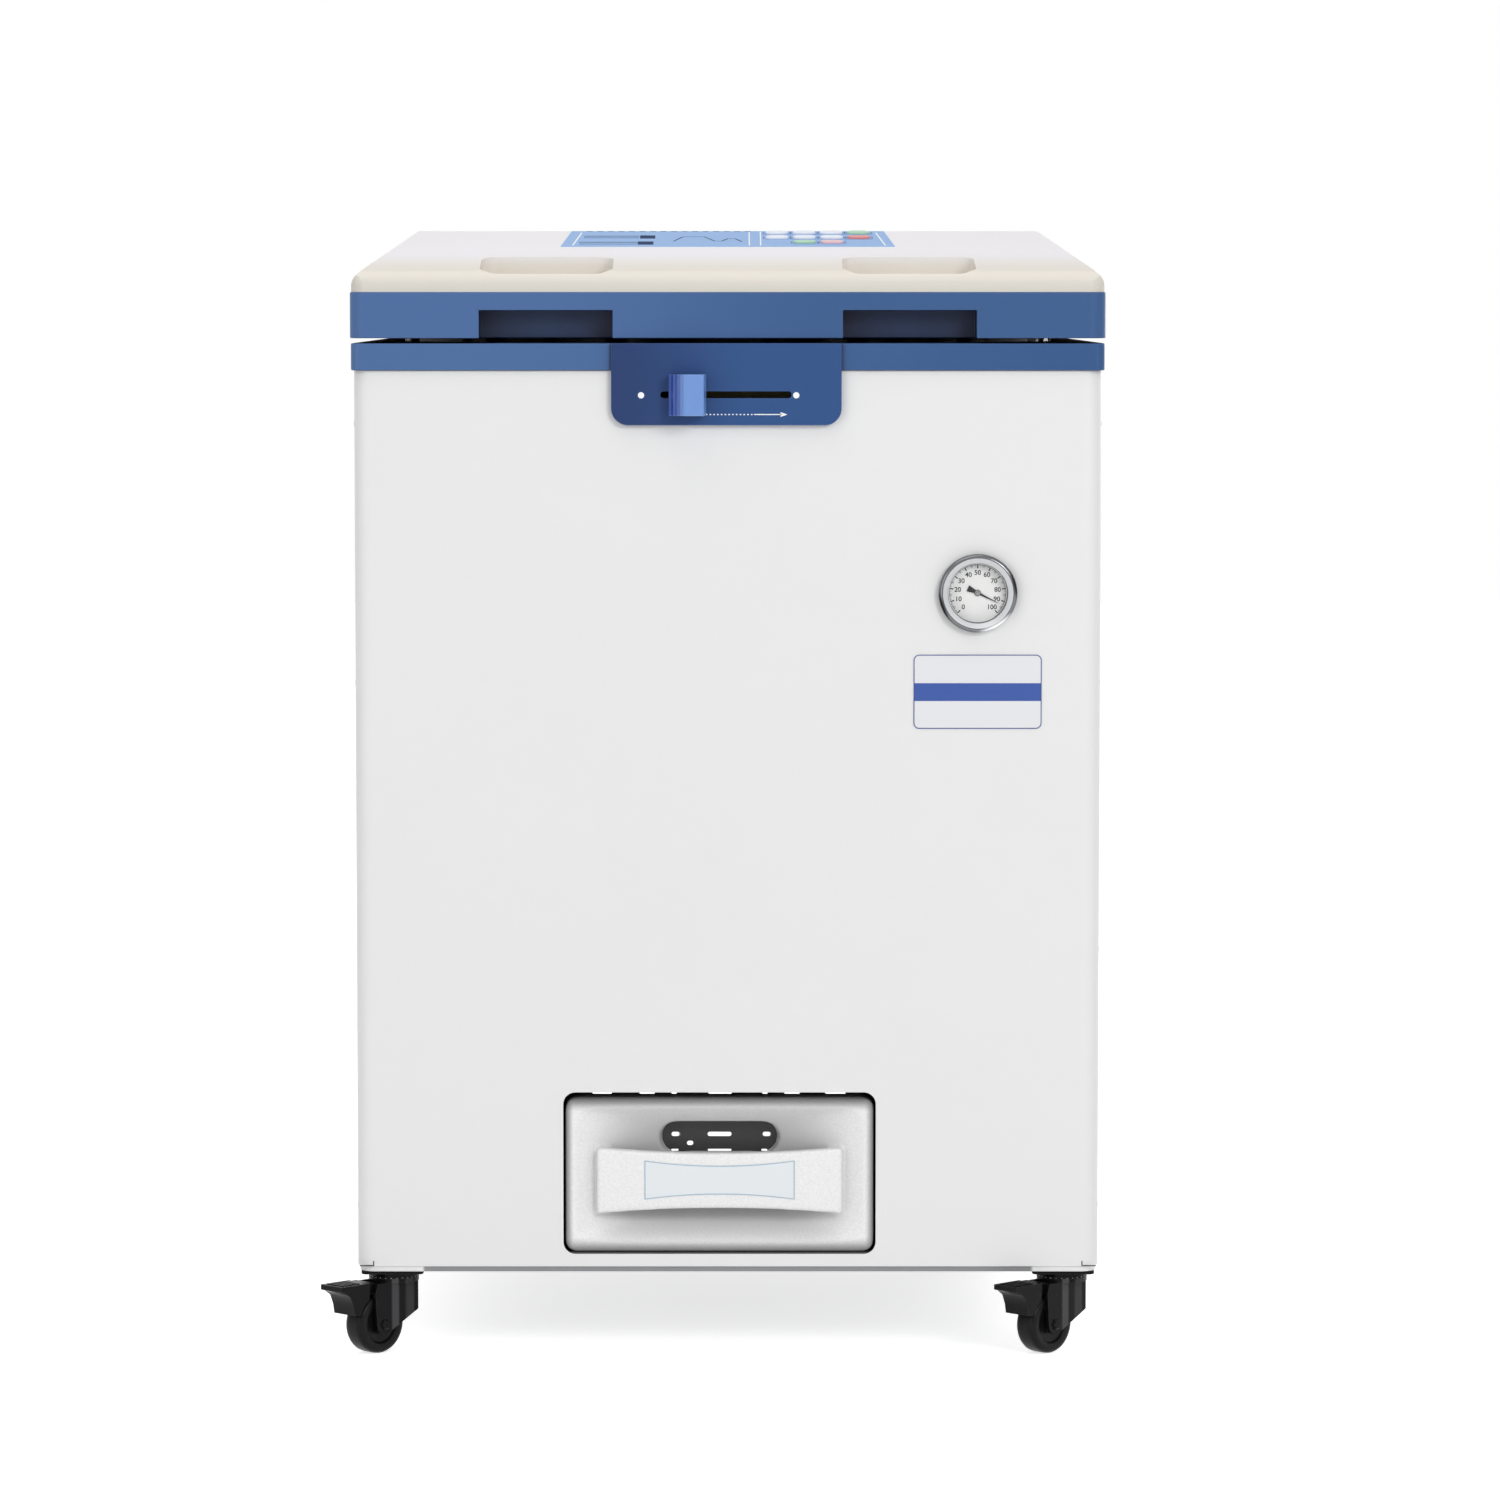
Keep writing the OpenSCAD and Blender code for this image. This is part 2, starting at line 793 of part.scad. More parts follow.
module lid_band() {
    color("steelblue") difference() {
        union() {
            translate([0, 0, band_z]) linear_extrude(band_h) difference() {
                rrect(lid_w, lid_d, band_r);
                rrect(lid_w - 2 * lid_t, lid_d - 2 * lid_t, band_r - lid_t);
            }
            translate([0, 0, cover_z - lid_t]) linear_extrude(lid_t) difference() {
                rrect(lid_w - lid_t, lid_d - lid_t, band_r - lid_t / 2);
                rrect(lid_w - 2 * ledge_w, lid_d - 2 * ledge_w, band_r);
            }
            translate([0, 0, band_z + underside_rise]) linear_extrude(underside_t) difference() {
                rrect(lid_w - lid_t, lid_d - lid_t, band_r - lid_t / 2);
                circle(mouth_r);
            }
            notch_boxes(lid_t, 0);
        }
        translate([0, -over, 0]) notch_boxes(0, over);
    }
}

module lid_plate() {
    top = plate_z + plate_t;
    color("silver") {
        rotate_extrude() polygon(concat(
            [[dome_inner_r, plate_z], [plate_r, plate_z], [plate_r, top], [dome_r, top]],
            [for (i = [1:6]) [dome_r * cos(15 * i), top + dome_h * sin(15 * i)]],
            [for (i = [6:-1:1])
                [(dome_inner_r - dome_t) * cos(15 * i), top + (dome_h - dome_t) * sin(15 * i)]]));
        lugs(plate_r - over, lid_lug_r, plate_z, plate_t, 0);
        translate([0, 0, top + dome_h - dome_t / 2])
            cylinder(r = boss_r, h = cover_z + crest_h - lid_t - top - dome_h + dome_t / 2);
    }
}

module lid_gasket() {
    color("tomato") translate([0, 0, flange_top + gap]) tube(gasket_outer, gasket_inner, gasket_h);
}

module hinge_line(s) {
    translate([s * hinge_x, hinge_y, hinge_z]) rotate([0, 90, 0]) children();
}

module lid_arms() {
    color("dimgray") for (s = [-1, 1]) difference() {
        union() {
            hinge_line(s) cylinder(r = hinge_out, h = hinge_w, center = true);
            translate([s * hinge_x - hinge_w / 2, lid_d / 2, hinge_z + hinge_r + over])
                cube([hinge_w, hinge_y - lid_d / 2 + hinge_r, band_h - 3 * hinge_r]);
            translate([s * hinge_x - hinge_w / 2, hinge_y - hinge_r, hinge_z])
                cube([hinge_w, 2 * hinge_r, hinge_out + over]);
        }
        hinge_line(s) cylinder(r = hinge_r + fit, h = hinge_w + 2 * over, center = true);
    }
}

module hinge_brackets() {
    w = hinge_w + 2 * (ear_t + ear_gap);
    color("gray") for (s = [-1, 1]) {
        hinge_line(s) cylinder(r = hinge_r, h = w, center = true);
        translate([s * hinge_x - w / 2, rim_d / 2, hinge_z - ear_drop])
            cube([w, rim_t, ear_drop - hinge_out]);
        translate([s * hinge_x - w / 2, rear_y, hinge_z - ear_drop])
            cube([w, rim_proud + rim_t, cab_top - over - hinge_z + ear_drop]);
        for (e = [-1, 1]) {
            translate([s * hinge_x + e * (w - ear_t) / 2, hinge_y, hinge_z])
                rotate([0, 90, 0]) cylinder(r = hinge_out, h = ear_t, center = true);
            translate([s * hinge_x + e * (w - ear_t) / 2 - ear_t / 2, rim_d / 2, hinge_z - ear_drop])
                cube([ear_t, hinge_y - rim_d / 2 + hinge_out, ear_drop]);
        }
    }
}

// Controls on the lid

module control_overlay() {
    color("lightsteelblue") difference() {
        on_slope() linear_extrude(overlay_t) polygon([
            [-overlay_w / 2, -overlay_back - overlay_d], [overlay_w / 2, -overlay_back - overlay_d],
            [overlay_back_w / 2, -overlay_back], [-overlay_back_w / 2, -overlay_back]]);
        key_holes();
    }
}

module keypad_board() {
    x = key_x + 1.5 * key_pitch_x;
    y = -overlay_back - overlay_d / 2;
    depth = key_depth + key_travel + gap;
    color("seagreen") on_slope() translate([x, y, 0]) {
        translate([0, 0, -depth - board_t]) linear_extrude(board_t)
            square([board_w, board_d], center = true);
        for (sx = [-1, 1], sy = [-1, 1])
            translate([sx * (board_w / 2 - standoff_r), sy * (board_d / 2 - standoff_r), -depth])
                cylinder(r = standoff_r, h = depth - lid_t);
    }
}

module key(i, tint) {
    color(tint) at_key(i) translate([0, 0, -key_depth])
        linear_extrude(key_depth + overlay_t + key_rise) oval(key_w, key_d);
}

module key_1() key(0, "white");
module key_2() key(1, "white");
module key_3() key(2, "white");
module key_4() key(3, "white");
module key_5() key(4, "palegreen");
module key_6() key(5, "white");
module key_7() key(6, "white");
module key_8() key(7, "mistyrose");
module key_9() key(8, "lightgreen");
module key_10() key(9, "salmon");

// Gauge and plate

module at_gauge() {
    translate([gauge_x, front_y, gauge_z]) rotate([90, 0, 0]) children();
}

module gauge_bezel() {
    r = dial_d / 2;
    color("silver") at_gauge() {
        rotate_extrude() polygon(concat(
            [[r, 0], [bezel_d / 2, 0]],
            arc([bezel_d / 2 - bezel_round, bezel_proud - bezel_round], bezel_round, 0, 90, 4),
            [[r, bezel_proud - bezel_round]]));
        rotate_extrude() polygon([[r, 0], [r, -dial_back], [r - case_t, -dial_back],
            [r - case_t, -dial_back - dial_t], [r, -dial_back - dial_t], [r, -case_d + case_t],
            [0, -case_d + case_t], [0, -case_d], [r + case_t, -case_d], [r + case_t, 0]]);
    }
}

module gauge_dial() {
    color("white") at_gauge() translate([0, 0, -dial_back + gap]) difference() {
        cylinder(r = dial_d / 2 - gap, h = dial_t);
        translate([0, 0, -over]) cylinder(r = spindle_r + fit, h = dial_t + 2 * over);
    }
}

module gauge_glass() {
    color("lightblue", 0.3) at_gauge() translate([0, 0, glass_back])
        cylinder(r = dial_d / 2 - gap, h = glass_t);
}

module gauge_needle() {
    face = -dial_back + gap + dial_t + gap;
    color("black") at_gauge() rotate([0, 0, -needle_rest]) {
        translate([0, 0, face]) linear_extrude(needle_t) {
            polygon([[-spindle_r, 0], [0, needle_l], [spindle_r, 0]]);
            polygon([[spindle_r, 0], [-spindle_r, 0],
                [-needle_hub, -needle_tail], [needle_hub, -needle_tail]]);
            circle(needle_hub);
        }
        translate([0, 0, face - 4 * dial_t]) cylinder(r = spindle_r, h = 4 * dial_t + over / 2);
    }
}

module label_plate() {
    color("white") front_slab(front_y, label_t)
        translate([gauge_x, label_z]) rrect(plate_w, plate_h, label_r);
}

// Drain tank and its bay

module tank_outline(inset) {
    translate([window_x, tank_mid]) rrect(tank_w - 2 * inset, tank_h - 2 * inset, tank_r - inset);
}

function bow(chord, rise) = (chord * chord / 4 + rise * rise) / (2 * rise);

// The bowl is where two long barrels, one upright and one level, both lie
module bowl() {
    level_r = bow(bowl_tall, bowl_h);
    upright_r = bow(bowl_w, bowl_h);
    intersection() {
        translate([window_x - bowl_w / 2, tank_front + bowl_h - level_r, tank_mid])
            rotate([0, 90, 0]) cylinder(r = level_r, h = bowl_w);
        translate([window_x, tank_front + bowl_h - upright_r, tank_mid - bowl_tall / 2])
            cylinder(r = upright_r, h = bowl_tall, $fn = 180);
    }
}

module bar_outline() {
    sag = (bar_end_h - bar_mid_h) / 2;
    r = bow(bar_w, sag);
    difference() {
        square([bar_w, bar_end_h], center = true);
        for (s = [-1, 1]) translate([0, s * (bar_mid_h / 2 + r)]) circle(r, $fn = 360);
    }
}

module tank_face() {
    color("white") {
        difference() {
            front_slab(tank_front + face_d, face_d) tank_outline(0);
            bowl();
            front_slab(tank_front + hole_depth, hole_depth)
                translate([window_x, tank_mid + hole_up]) oval(hole_w, hole_h);
        }
        intersection() {
            front_slab(tank_front + bar_sink + bar_t, bar_t)
                translate([window_x, tank_mid - bar_drop]) bar_outline();
            front_slab(tank_front + face_d, face_d) tank_outline(0);
        }
    }
}

module drain_tank() {
    color("white") difference() {
        front_slab(tank_front + tank_d, tank_d - face_d) tank_outline(0);
        front_slab(tank_front + tank_d - tank_t, tank_d) tank_outline(tank_t);
        translate([window_x, tank_front + tank_d - filler_back, tank_mid])
            cylinder(r = filler_r, h = tank_h);
    }
}

SLOT_SHARES = [[-0.37, 0.05, 0.08], [0, 0.05, 0.21], [0.4, 0.05, 0.08], [-0.25, -0.21, 0.06]];
slot_h_share = 0.14;

module tank_insert() {
    color("dimgray") difference() {
        front_slab(tank_front + hole_depth, insert_t)
            translate([window_x, tank_mid + hole_up]) oval(hole_w - 2 * gap, hole_h - 2 * gap);
        front_slab(tank_front + hole_depth + over, insert_t + 2 * over)
            translate([window_x, tank_mid + hole_up]) for (p = SLOT_SHARES)
                translate([p[0] * hole_w, p[1] * hole_h])
                    oval(p[2] * hole_w, slot_h_share * hole_h);
    }
}

module tank_bay() {
    w = tank_w + 2 * tank_gap;
    low = tank_z - gap;
    high = window_z + window_h + bay_t;
    front = front_y + sheet;
    color("dimgray") difference() {
        front_slab(bay_back + bay_t, bay_back + bay_t - front)
            translate([window_x - w / 2 - bay_t, pan_top])
            square([w + 2 * bay_t, high + bay_t - pan_top]);
        front_slab(bay_back, bay_back - front + over)
            translate([window_x - w / 2, low]) square([w, high - low]);
        front_slab(bay_back + 2 * bay_t, bay_back + 3 * bay_t - front)
            translate([window_x - w / 2, pan_top - over]) square([w, low - bay_t - pan_top + over]);
        front_slab(front + pan_t + 2 * gap, pan_t + 2 * gap + over)
            translate([window_x - w, pan_top - over]) square([2 * w, pan_flange - pan_t + over + gap]);
        translate([window_x, tank_front + tank_d - filler_back, high - over])
            cylinder(r = filler_r, h = 2 * over + bay_t);
    }
}

// Services

module steam_valves() {
    pipe_top = flange_top - nozzle_drop + nozzle_r;
    color("goldenrod") {
        translate([riser_x, riser_x, pipe_top]) {
            cylinder(r = hex_r, h = hex_r, $fn = 6);
            translate([0, 0, hex_r]) cylinder(r = nozzle_r, h = 2 * hex_r);
            translate([0, 0, 3 * hex_r]) cylinder(r = nozzle_bore, h = hex_r / 2);
        }
        translate([riser_x, riser_x, exhaust_z]) {
            rotate([90, 0, 0]) cylinder(r = hex_r, h = 3 * hex_r, center = true);
            translate([0, 0, -hex_r - (exhaust_z - hex_r - pan_top)])
                cylinder(r = nozzle_r, h = exhaust_z - pan_top);
            difference() {
                rod_y(spigot_r, hex_r, rear_y + spigot_l - riser_x - hex_r);
                rod_y(spigot_bore, 3 * hex_r, rear_y + spigot_l - riser_x);
            }
        }
    }
}

module pipes() {
    pipe_top = flange_top - nozzle_drop + nozzle_r;
    color("silver") {
        difference() {
            translate([riser_x, riser_x, exhaust_z + hex_r])
                cylinder(r = nozzle_r, h = pipe_top - exhaust_z - hex_r);
            rotate([0, 0, riser_a]) translate([0, 0, flange_top - nozzle_drop]) rotate([0, 90, 0])
                cylinder(r = nozzle_r + gap, h = shell_r + jacket_t + 2 * nozzle_r);
        }
        drain_top = dish_z - dish_h - nozzle_l;
        translate([0, 0, drain_z - nozzle_r]) cylinder(r = nozzle_r, h = drain_top - drain_z + nozzle_r);
        translate([0, 0, drain_z]) rod_y(nozzle_r, 0, rear_y - 6 * hex_r);
    }
}

module drain_valve() {
    start = rear_y - 6 * hex_r;
    color("goldenrod") translate([0, 0, drain_z]) {
        difference() {
            union() {
                rod_y(hex_r, start, 3 * hex_r);
                rod_y(spigot_r, start + 2 * hex_r, 4 * hex_r + spigot_l);
            }
            rod_y(spigot_bore, start + 3 * hex_r, 4 * hex_r + spigot_l);
        }
        translate([0, start + 1.5 * hex_r, 0]) cylinder(r = nozzle_bore, h = 2 * hex_r);
        translate([0, start + 1.5 * hex_r, -drain_z + pan_top])
            cylinder(r = nozzle_bore, h = drain_z - pan_top);
    }
}

module service_valves() {
    steam_valves();
    drain_valve();
}

module mains_inlet() {
    hood_w = rocker_w + 2 * inlet_t + 2 * gap;
    hood_h = rocker_h + 2 * inlet_t + 2 * rocker_gap;
    color("dimgray") difference() {
        union() {
            translate([inlet_x, rear_y + inlet_t, inlet_z]) rotate([90, 0, 0])
                linear_extrude(inlet_t) rrect(inlet_w, inlet_h, label_r);
            translate([inlet_x - rocker_x, rear_y + inlet_t - (rocker_t + inlet_t) / 2, inlet_z])
                cube([hood_w, rocker_t + inlet_t, hood_h], center = true);
            translate([inlet_x + rocker_x, 0, inlet_z]) rod_y(gland_r, rear_y - inlet_t, gland_l + inlet_t);
        }
        translate([inlet_x - rocker_x, rear_y + inlet_t, inlet_z])
            translate([-rocker_w / 2 - gap, -rocker_t, -rocker_h / 2 - rocker_gap])
            cube([rocker_w + 2 * gap, rocker_t + over, rocker_h + 2 * rocker_gap]);
        translate([inlet_x + rocker_x, 0, inlet_z])
            rod_y(gland_bore, rear_y - 2 * inlet_t, gland_l + 4 * inlet_t);
        switch_pin(rocker_r + fit, rocker_w + 4 * inlet_t);
    }
}

module switch_pin(r, l) {
    translate([inlet_x - rocker_x, rear_y - rocker_r - inlet_t / 2, inlet_z])
        rotate([0, 90, 0]) cylinder(r = r, h = l, center = true);
}

ROCKER_SHARES = [[-0.45, 0.1], [-0.45, 0.62], [-0.36, 0.74], [0, 0.3], [0.45, 0.36],
    [0.45, 0.1], [0.15, -0.22], [-0.15, -0.22]];

module power_switch() {
    color("black") {
        translate([0, rear_y - rocker_r - inlet_t / 2, inlet_z])
            side_slab(inlet_x - rocker_x - rocker_w / 2 + gap, rocker_w - 2 * gap)
            polygon([for (p = ROCKER_SHARES) [p[1] * rocker_t, p[0] * rocker_h]]);
        switch_pin(rocker_r, rocker_w + inlet_t);
    }
}

box_in = 23;
box_gap = 12;
box_x = box_in - cab_w / 2;
box_w = -leg_x - leg_r - box_gap - box_x;
box_d = 180;
box_h = 130;
box_back = 70;
box_y = rear_y - box_back - box_d;

module control_box() {
    color("lightgray") translate([box_x, box_y, pan_top]) difference() {
        cube([box_w, box_d, box_h]);
        translate([sheet, sheet, sheet]) cube([box_w - 2 * sheet, box_d - 2 * sheet, box_h - 2 * sheet]);
        for (i = [0:3]) translate([-over, box_d / 5 * (i + 1), box_h / 2])
            cube([2 * sheet + over, vent_h, box_h / 4]);
    }
}

module screw_here() {
    translate([0, 0, -screw_head_t]) cylinder(r = screw_head, h = screw_head_t);
    cylinder(r = screw_r, h = screw_l);
}

module panel_screws() {
    color("silver") {
        for (share = SCREW_SHARES, s = [-1, 1], y = [-1, 1])
            translate([s * cab_w / 2, y * (rear_y - return_d - screw_in),
                panel_z + share * (cab_top - panel_z)])
                rotate([0, -s * 90, 0]) screw_here();
        for (share = SCREW_SHARES, x = [-1, 1])
            translate([x * (cab_w / 2 - screw_in), rear_y, panel_z + share * (cab_top - panel_z)])
                rotate([90, 0, 0]) screw_here();
    }
}

// Casters, drawn with the swivel axis on Z and the wheel towards +X

module at_caster(sx, sy) {
    translate([sx * (cab_w / 2 - caster_inset), sy * (cab_d / 2 - caster_inset - over), 0])
        rotate([0, 0, sy < 0 ? turn_front : turn_rear]) children();
}

module caster_plates() {
    color("black") for (sx = [-1, 1], sy = [-1, 1]) at_caster(sx, sy) {
        translate([0, 0, base_z - mount_t]) linear_extrude(mount_t) rotate([0, 0, turn_rear])
            rrect(plate_side, plate_side, label_r);
        translate([0, 0, head_z]) cylinder(r = head_r, h = head_t);
        translate([0, 0, fork_z - head_t]) cylinder(r = king_r, h = head_t + base_z - mount_t - fork_z);
    }
}

module cheek() {
    polygon(concat(
        [[-fork_back, fork_z + over], [-fork_back, wheel_r + 3 * axle_r]],
        arc([trail, wheel_r], 3 * axle_r, 225, 360, 6),
        [[brake_x + 3 * axle_r, brake_z - axle_r], [brake_x + 2 * axle_r, fork_z + over]]));
}

module fork() {
    color("black") difference() {
        union() {
            translate([0, 0, fork_z]) cylinder(r = head_r + fit, h = head_t);
            for (s = [-1, 1]) translate([0, s * (cheek_in + cheek_t / 2) + cheek_t / 2, 0])
                rotate([90, 0, 0]) linear_extrude(cheek_t) cheek();
            translate([-fork_back, -cheek_in, wheel_r + 3 * axle_r])
                cube([cheek_t, 2 * cheek_in, fork_z - wheel_r - 3 * axle_r + over]);
            translate([-fork_back, -cheek_in, 2 * wheel_r + crown_gap])
                cube([fork_back + head_r - crown_in, 2 * cheek_in, fork_z - 2 * wheel_r - crown_gap + over]);
            translate([trail, 0, wheel_r]) rotate([90, 0, 0])
                cylinder(r = axle_r, h = 2 * (cheek_in + cheek_t), center = true);
            translate([brake_x, 0, brake_z]) rotate([90, 0, 0])
                cylinder(r = brake_r, h = 2 * (cheek_in + cheek_t), center = true);
        }
        translate([0, 0, fork_z - 2 * head_t]) cylinder(r = king_r + fit, h = 3 * head_t + over);
    }
}

WHEEL_SHARES = [[0, -0.3], [0.2, -0.3], [0.2, -0.36], [0.62, -0.36], [0.66, -0.46], [0.88, -0.5],
    [0.95, -0.44], [1, -0.3], [1, 0.3], [0.95, 0.44], [0.88, 0.5], [0.66, 0.46], [0.62, 0.36],
    [0.2, 0.36], [0.2, 0.3], [0, 0.3]];

module wheel() {
    color("black") translate([trail, 0, wheel_r]) rotate([90, 0, 0]) difference() {
        rotate_extrude() polygon([for (p = WHEEL_SHARES) [p[0] * wheel_r, p[1] * wheel_w]]);
        cylinder(r = axle_r + fit, h = 2 * wheel_w, center = true);
    }
}

// The pedal's side view: the arm over the wheel, the tread plate and the shoe before the wheel
module pedal_view() {
    inner = wheel_r + shoe_gap;
    top = brake_z + knuckle_r;
    low = wheel_r + inner * sin(shoe_a);
    high = top + pedal_rise;
    polygon(concat(
        [[brake_x, top]],
        [for (p = PEDAL_SHARES) [brake_x + p[0] * (pedal_reach - brake_x), low + p[1] * (high - low)]],
        arc([trail, wheel_r], inner, shoe_a, shoe_end_a, 6),
        [[brake_x, brake_z - knuckle_r / 2]]));
}

module brake() {
    inner = wheel_w - over;
    color("black") difference() {
        union() {
            translate([0, inner / 2, 0]) rotate([90, 0, 0]) linear_extrude(inner) pedal_view();
            intersection() {
                translate([0, pedal_w / 2, 0]) rotate([90, 0, 0]) linear_extrude(pedal_w) pedal_view();
                translate([brake_x + 5 * axle_r, -pedal_w, 0]) cube([pedal_reach, 2 * pedal_w, base_z]);
            }
            translate([brake_x, 0, brake_z]) rotate([90, 0, 0])
                cylinder(r = knuckle_r, h = inner, center = true);
        }
        translate([brake_x, 0, brake_z]) rotate([90, 0, 0])
            cylinder(r = brake_r + fit, h = pedal_w, center = true);
    }
}

module fork_front_left() at_caster(-1, -1) fork();
module fork_front_right() at_caster(1, -1) fork();
module fork_rear_left() at_caster(-1, 1) fork();
module fork_rear_right() at_caster(1, 1) fork();
module wheel_front_left() at_caster(-1, -1) wheel();
module wheel_front_right() at_caster(1, -1) wheel();
module wheel_rear_left() at_caster(-1, 1) wheel();
module wheel_rear_right() at_caster(1, 1) wheel();
module brake_front_left() at_caster(-1, -1) brake();
module brake_front_right() at_caster(1, -1) brake();
module brake_rear_left() at_caster(-1, 1) brake();
module brake_rear_right() at_caster(1, 1) brake();

base_pan();
inner_frame();
front_panel();
side_panel_left();
side_panel_right();
rear_panel();
top_rim();
latch_housing();
vessel();
insulation_jacket();
heater_element();
chamber_screen();
gauge_bezel();
gauge_dial();
gauge_glass();
gauge_needle();
label_plate();
service_valves();
pipes();
mains_inlet();
power_switch();
tank_bay();
tank_face();
drain_tank();
tank_insert();
control_box();
panel_screws();
caster_plates();
hinge_brackets();
lock_ring();
lock_knob();
lid_cover();
lid_band();
lid_plate();
lid_gasket();
lid_arms();
control_overlay();
keypad_board();
key_1();
key_2();
key_3();
key_4();
key_5();
key_6();
key_7();
key_8();
key_9();
key_10();
fork_front_left();
fork_front_right();
fork_rear_left();
fork_rear_right();
wheel_front_left();
wheel_front_right();
wheel_rear_left();
wheel_rear_right();
brake_front_left();
brake_front_right();
brake_rear_left();
brake_rear_right();
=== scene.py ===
from math import cos, exp, hypot, log, pi, radians, sin

import bmesh
import bpy
from mathutils import Matrix, Vector
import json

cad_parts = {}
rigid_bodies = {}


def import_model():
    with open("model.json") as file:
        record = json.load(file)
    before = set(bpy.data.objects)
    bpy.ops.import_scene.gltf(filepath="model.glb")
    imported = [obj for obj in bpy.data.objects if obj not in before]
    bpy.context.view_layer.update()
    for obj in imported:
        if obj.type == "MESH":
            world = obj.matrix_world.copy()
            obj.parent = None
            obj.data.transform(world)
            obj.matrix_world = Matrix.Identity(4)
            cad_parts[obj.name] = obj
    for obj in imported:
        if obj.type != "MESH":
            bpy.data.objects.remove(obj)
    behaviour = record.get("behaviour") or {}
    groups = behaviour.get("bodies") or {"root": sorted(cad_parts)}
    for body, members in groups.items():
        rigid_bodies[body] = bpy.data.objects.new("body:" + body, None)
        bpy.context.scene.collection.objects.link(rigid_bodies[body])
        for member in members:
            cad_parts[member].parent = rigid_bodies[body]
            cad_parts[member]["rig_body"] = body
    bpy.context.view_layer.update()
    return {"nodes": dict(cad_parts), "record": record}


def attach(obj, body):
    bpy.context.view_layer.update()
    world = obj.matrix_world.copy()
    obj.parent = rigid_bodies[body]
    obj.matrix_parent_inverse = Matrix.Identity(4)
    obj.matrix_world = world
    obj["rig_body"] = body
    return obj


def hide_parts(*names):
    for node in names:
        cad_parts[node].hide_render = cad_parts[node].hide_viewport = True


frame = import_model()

nodes = frame["nodes"]
slotOf = {row["node"]: row["material_slot"] for row in frame["record"]["subparts"]}
bodyOf = {name: node["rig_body"] for name, node in nodes.items()}
scene = bpy.context.scene
print("frame loaded:", len(nodes), "nodes")

# Shader groups

# Shared by all materials: noise, samples, relief depth in metres, and how far roughness strays
surface = {"grainDetail": 3.0, "brushDetail": 2.0, "brushStretch": (1, 1, 60), "mottleDetail": 4.0,
           "mottle": (6.0, 0.8), "edgeSamples": 4, "edgeGain": 4.0, "creviceSamples": 6,
           "reliefDepth": 0.0004, "roughSpread": 0.15}


def shaderGroup(name, inputs, output):
    group = bpy.data.node_groups.new(name, "ShaderNodeTree")
    for socketName, value in inputs.items():
        socket = group.interface.new_socket(socketName, in_out="INPUT", socket_type="NodeSocketFloat")
        socket.default_value = value
    group.interface.new_socket(output, in_out="OUTPUT", socket_type="NodeSocketFloat")
    return group, group.nodes.new("NodeGroupInput").outputs, group.nodes.new("NodeGroupOutput").inputs


def addMath(tree, operation, first, second):
    node = tree.nodes.new("ShaderNodeMath")
    node.operation = operation
    for socket, value in zip(node.inputs, (first, second)):
        if isinstance(value, (int, float)):
            socket.default_value = value
        else:
            tree.links.new(value, socket)
    return node.outputs[0]


def addNoise(tree, scale, detail, stretch=(1, 1, 1)):
    place = tree.nodes.new("ShaderNodeTexCoord")
    mapping = tree.nodes.new("ShaderNodeMapping")
    mapping.inputs["Scale"].default_value = stretch
    noise = tree.nodes.new("ShaderNodeTexNoise")
    noise.inputs["Detail"].default_value = detail
    tree.links.new(place.outputs["Object"], mapping.inputs["Vector"])
    tree.links.new(mapping.outputs["Vector"], noise.inputs["Vector"])
    tree.links.new(scale, noise.inputs["Scale"])
    return noise.outputs["Fac"]


def grainGroup():
    group, start, end = shaderGroup("surfaceGrain", {"Scale": 900.0, "Depth": 0.5}, "Height")
    noise = addNoise(group, start["Scale"], surface["grainDetail"])
    group.links.new(addMath(group, "MULTIPLY", noise, start["Depth"]), end["Height"])
    return group


def brushGroup():
    group, start, end = shaderGroup("brushedLines", {"Scale": 40.0, "Depth": 0.5}, "Height")
    noise = addNoise(group, start["Scale"], surface["brushDetail"], surface["brushStretch"])
    group.links.new(addMath(group, "MULTIPLY", noise, start["Depth"]), end["Height"])
    return group


def mottleGroup():
    group, start, end = shaderGroup("toneMottle", {"Scale": 6.0, "Amount": 0.5}, "Mask")
    noise = addNoise(group, start["Scale"], surface["mottleDetail"])
    spread = addMath(group, "SUBTRACT", noise, 0.5)
    scaled = addMath(group, "MULTIPLY", spread, start["Amount"])
    group.links.new(addMath(group, "ADD", scaled, 0.5), end["Mask"])
    return group


# Painted highlight on rounded edges, found by comparing the face's normal with a rounded one
def edgeGroup():
    group, start, end = shaderGroup("edgeLight", {"Radius": 0.001, "Amount": 0.5}, "Mask")
    bevel = group.nodes.new("ShaderNodeBevel")
    bevel.samples = surface["edgeSamples"]
    group.links.new(start["Radius"], bevel.inputs["Radius"])
    shape = group.nodes.new("ShaderNodeNewGeometry")
    turn = group.nodes.new("ShaderNodeVectorMath")
    turn.operation = "DOT_PRODUCT"
    group.links.new(bevel.outputs["Normal"], turn.inputs[0])
    group.links.new(shape.outputs["Normal"], turn.inputs[1])
    bent = addMath(group, "SUBTRACT", 1.0, turn.outputs["Value"])
    bent = addMath(group, "MULTIPLY", bent, surface["edgeGain"])
    limited = addMath(group, "MINIMUM", bent, 1.0)
    group.links.new(addMath(group, "MULTIPLY", limited, start["Amount"]), end["Mask"])
    return group
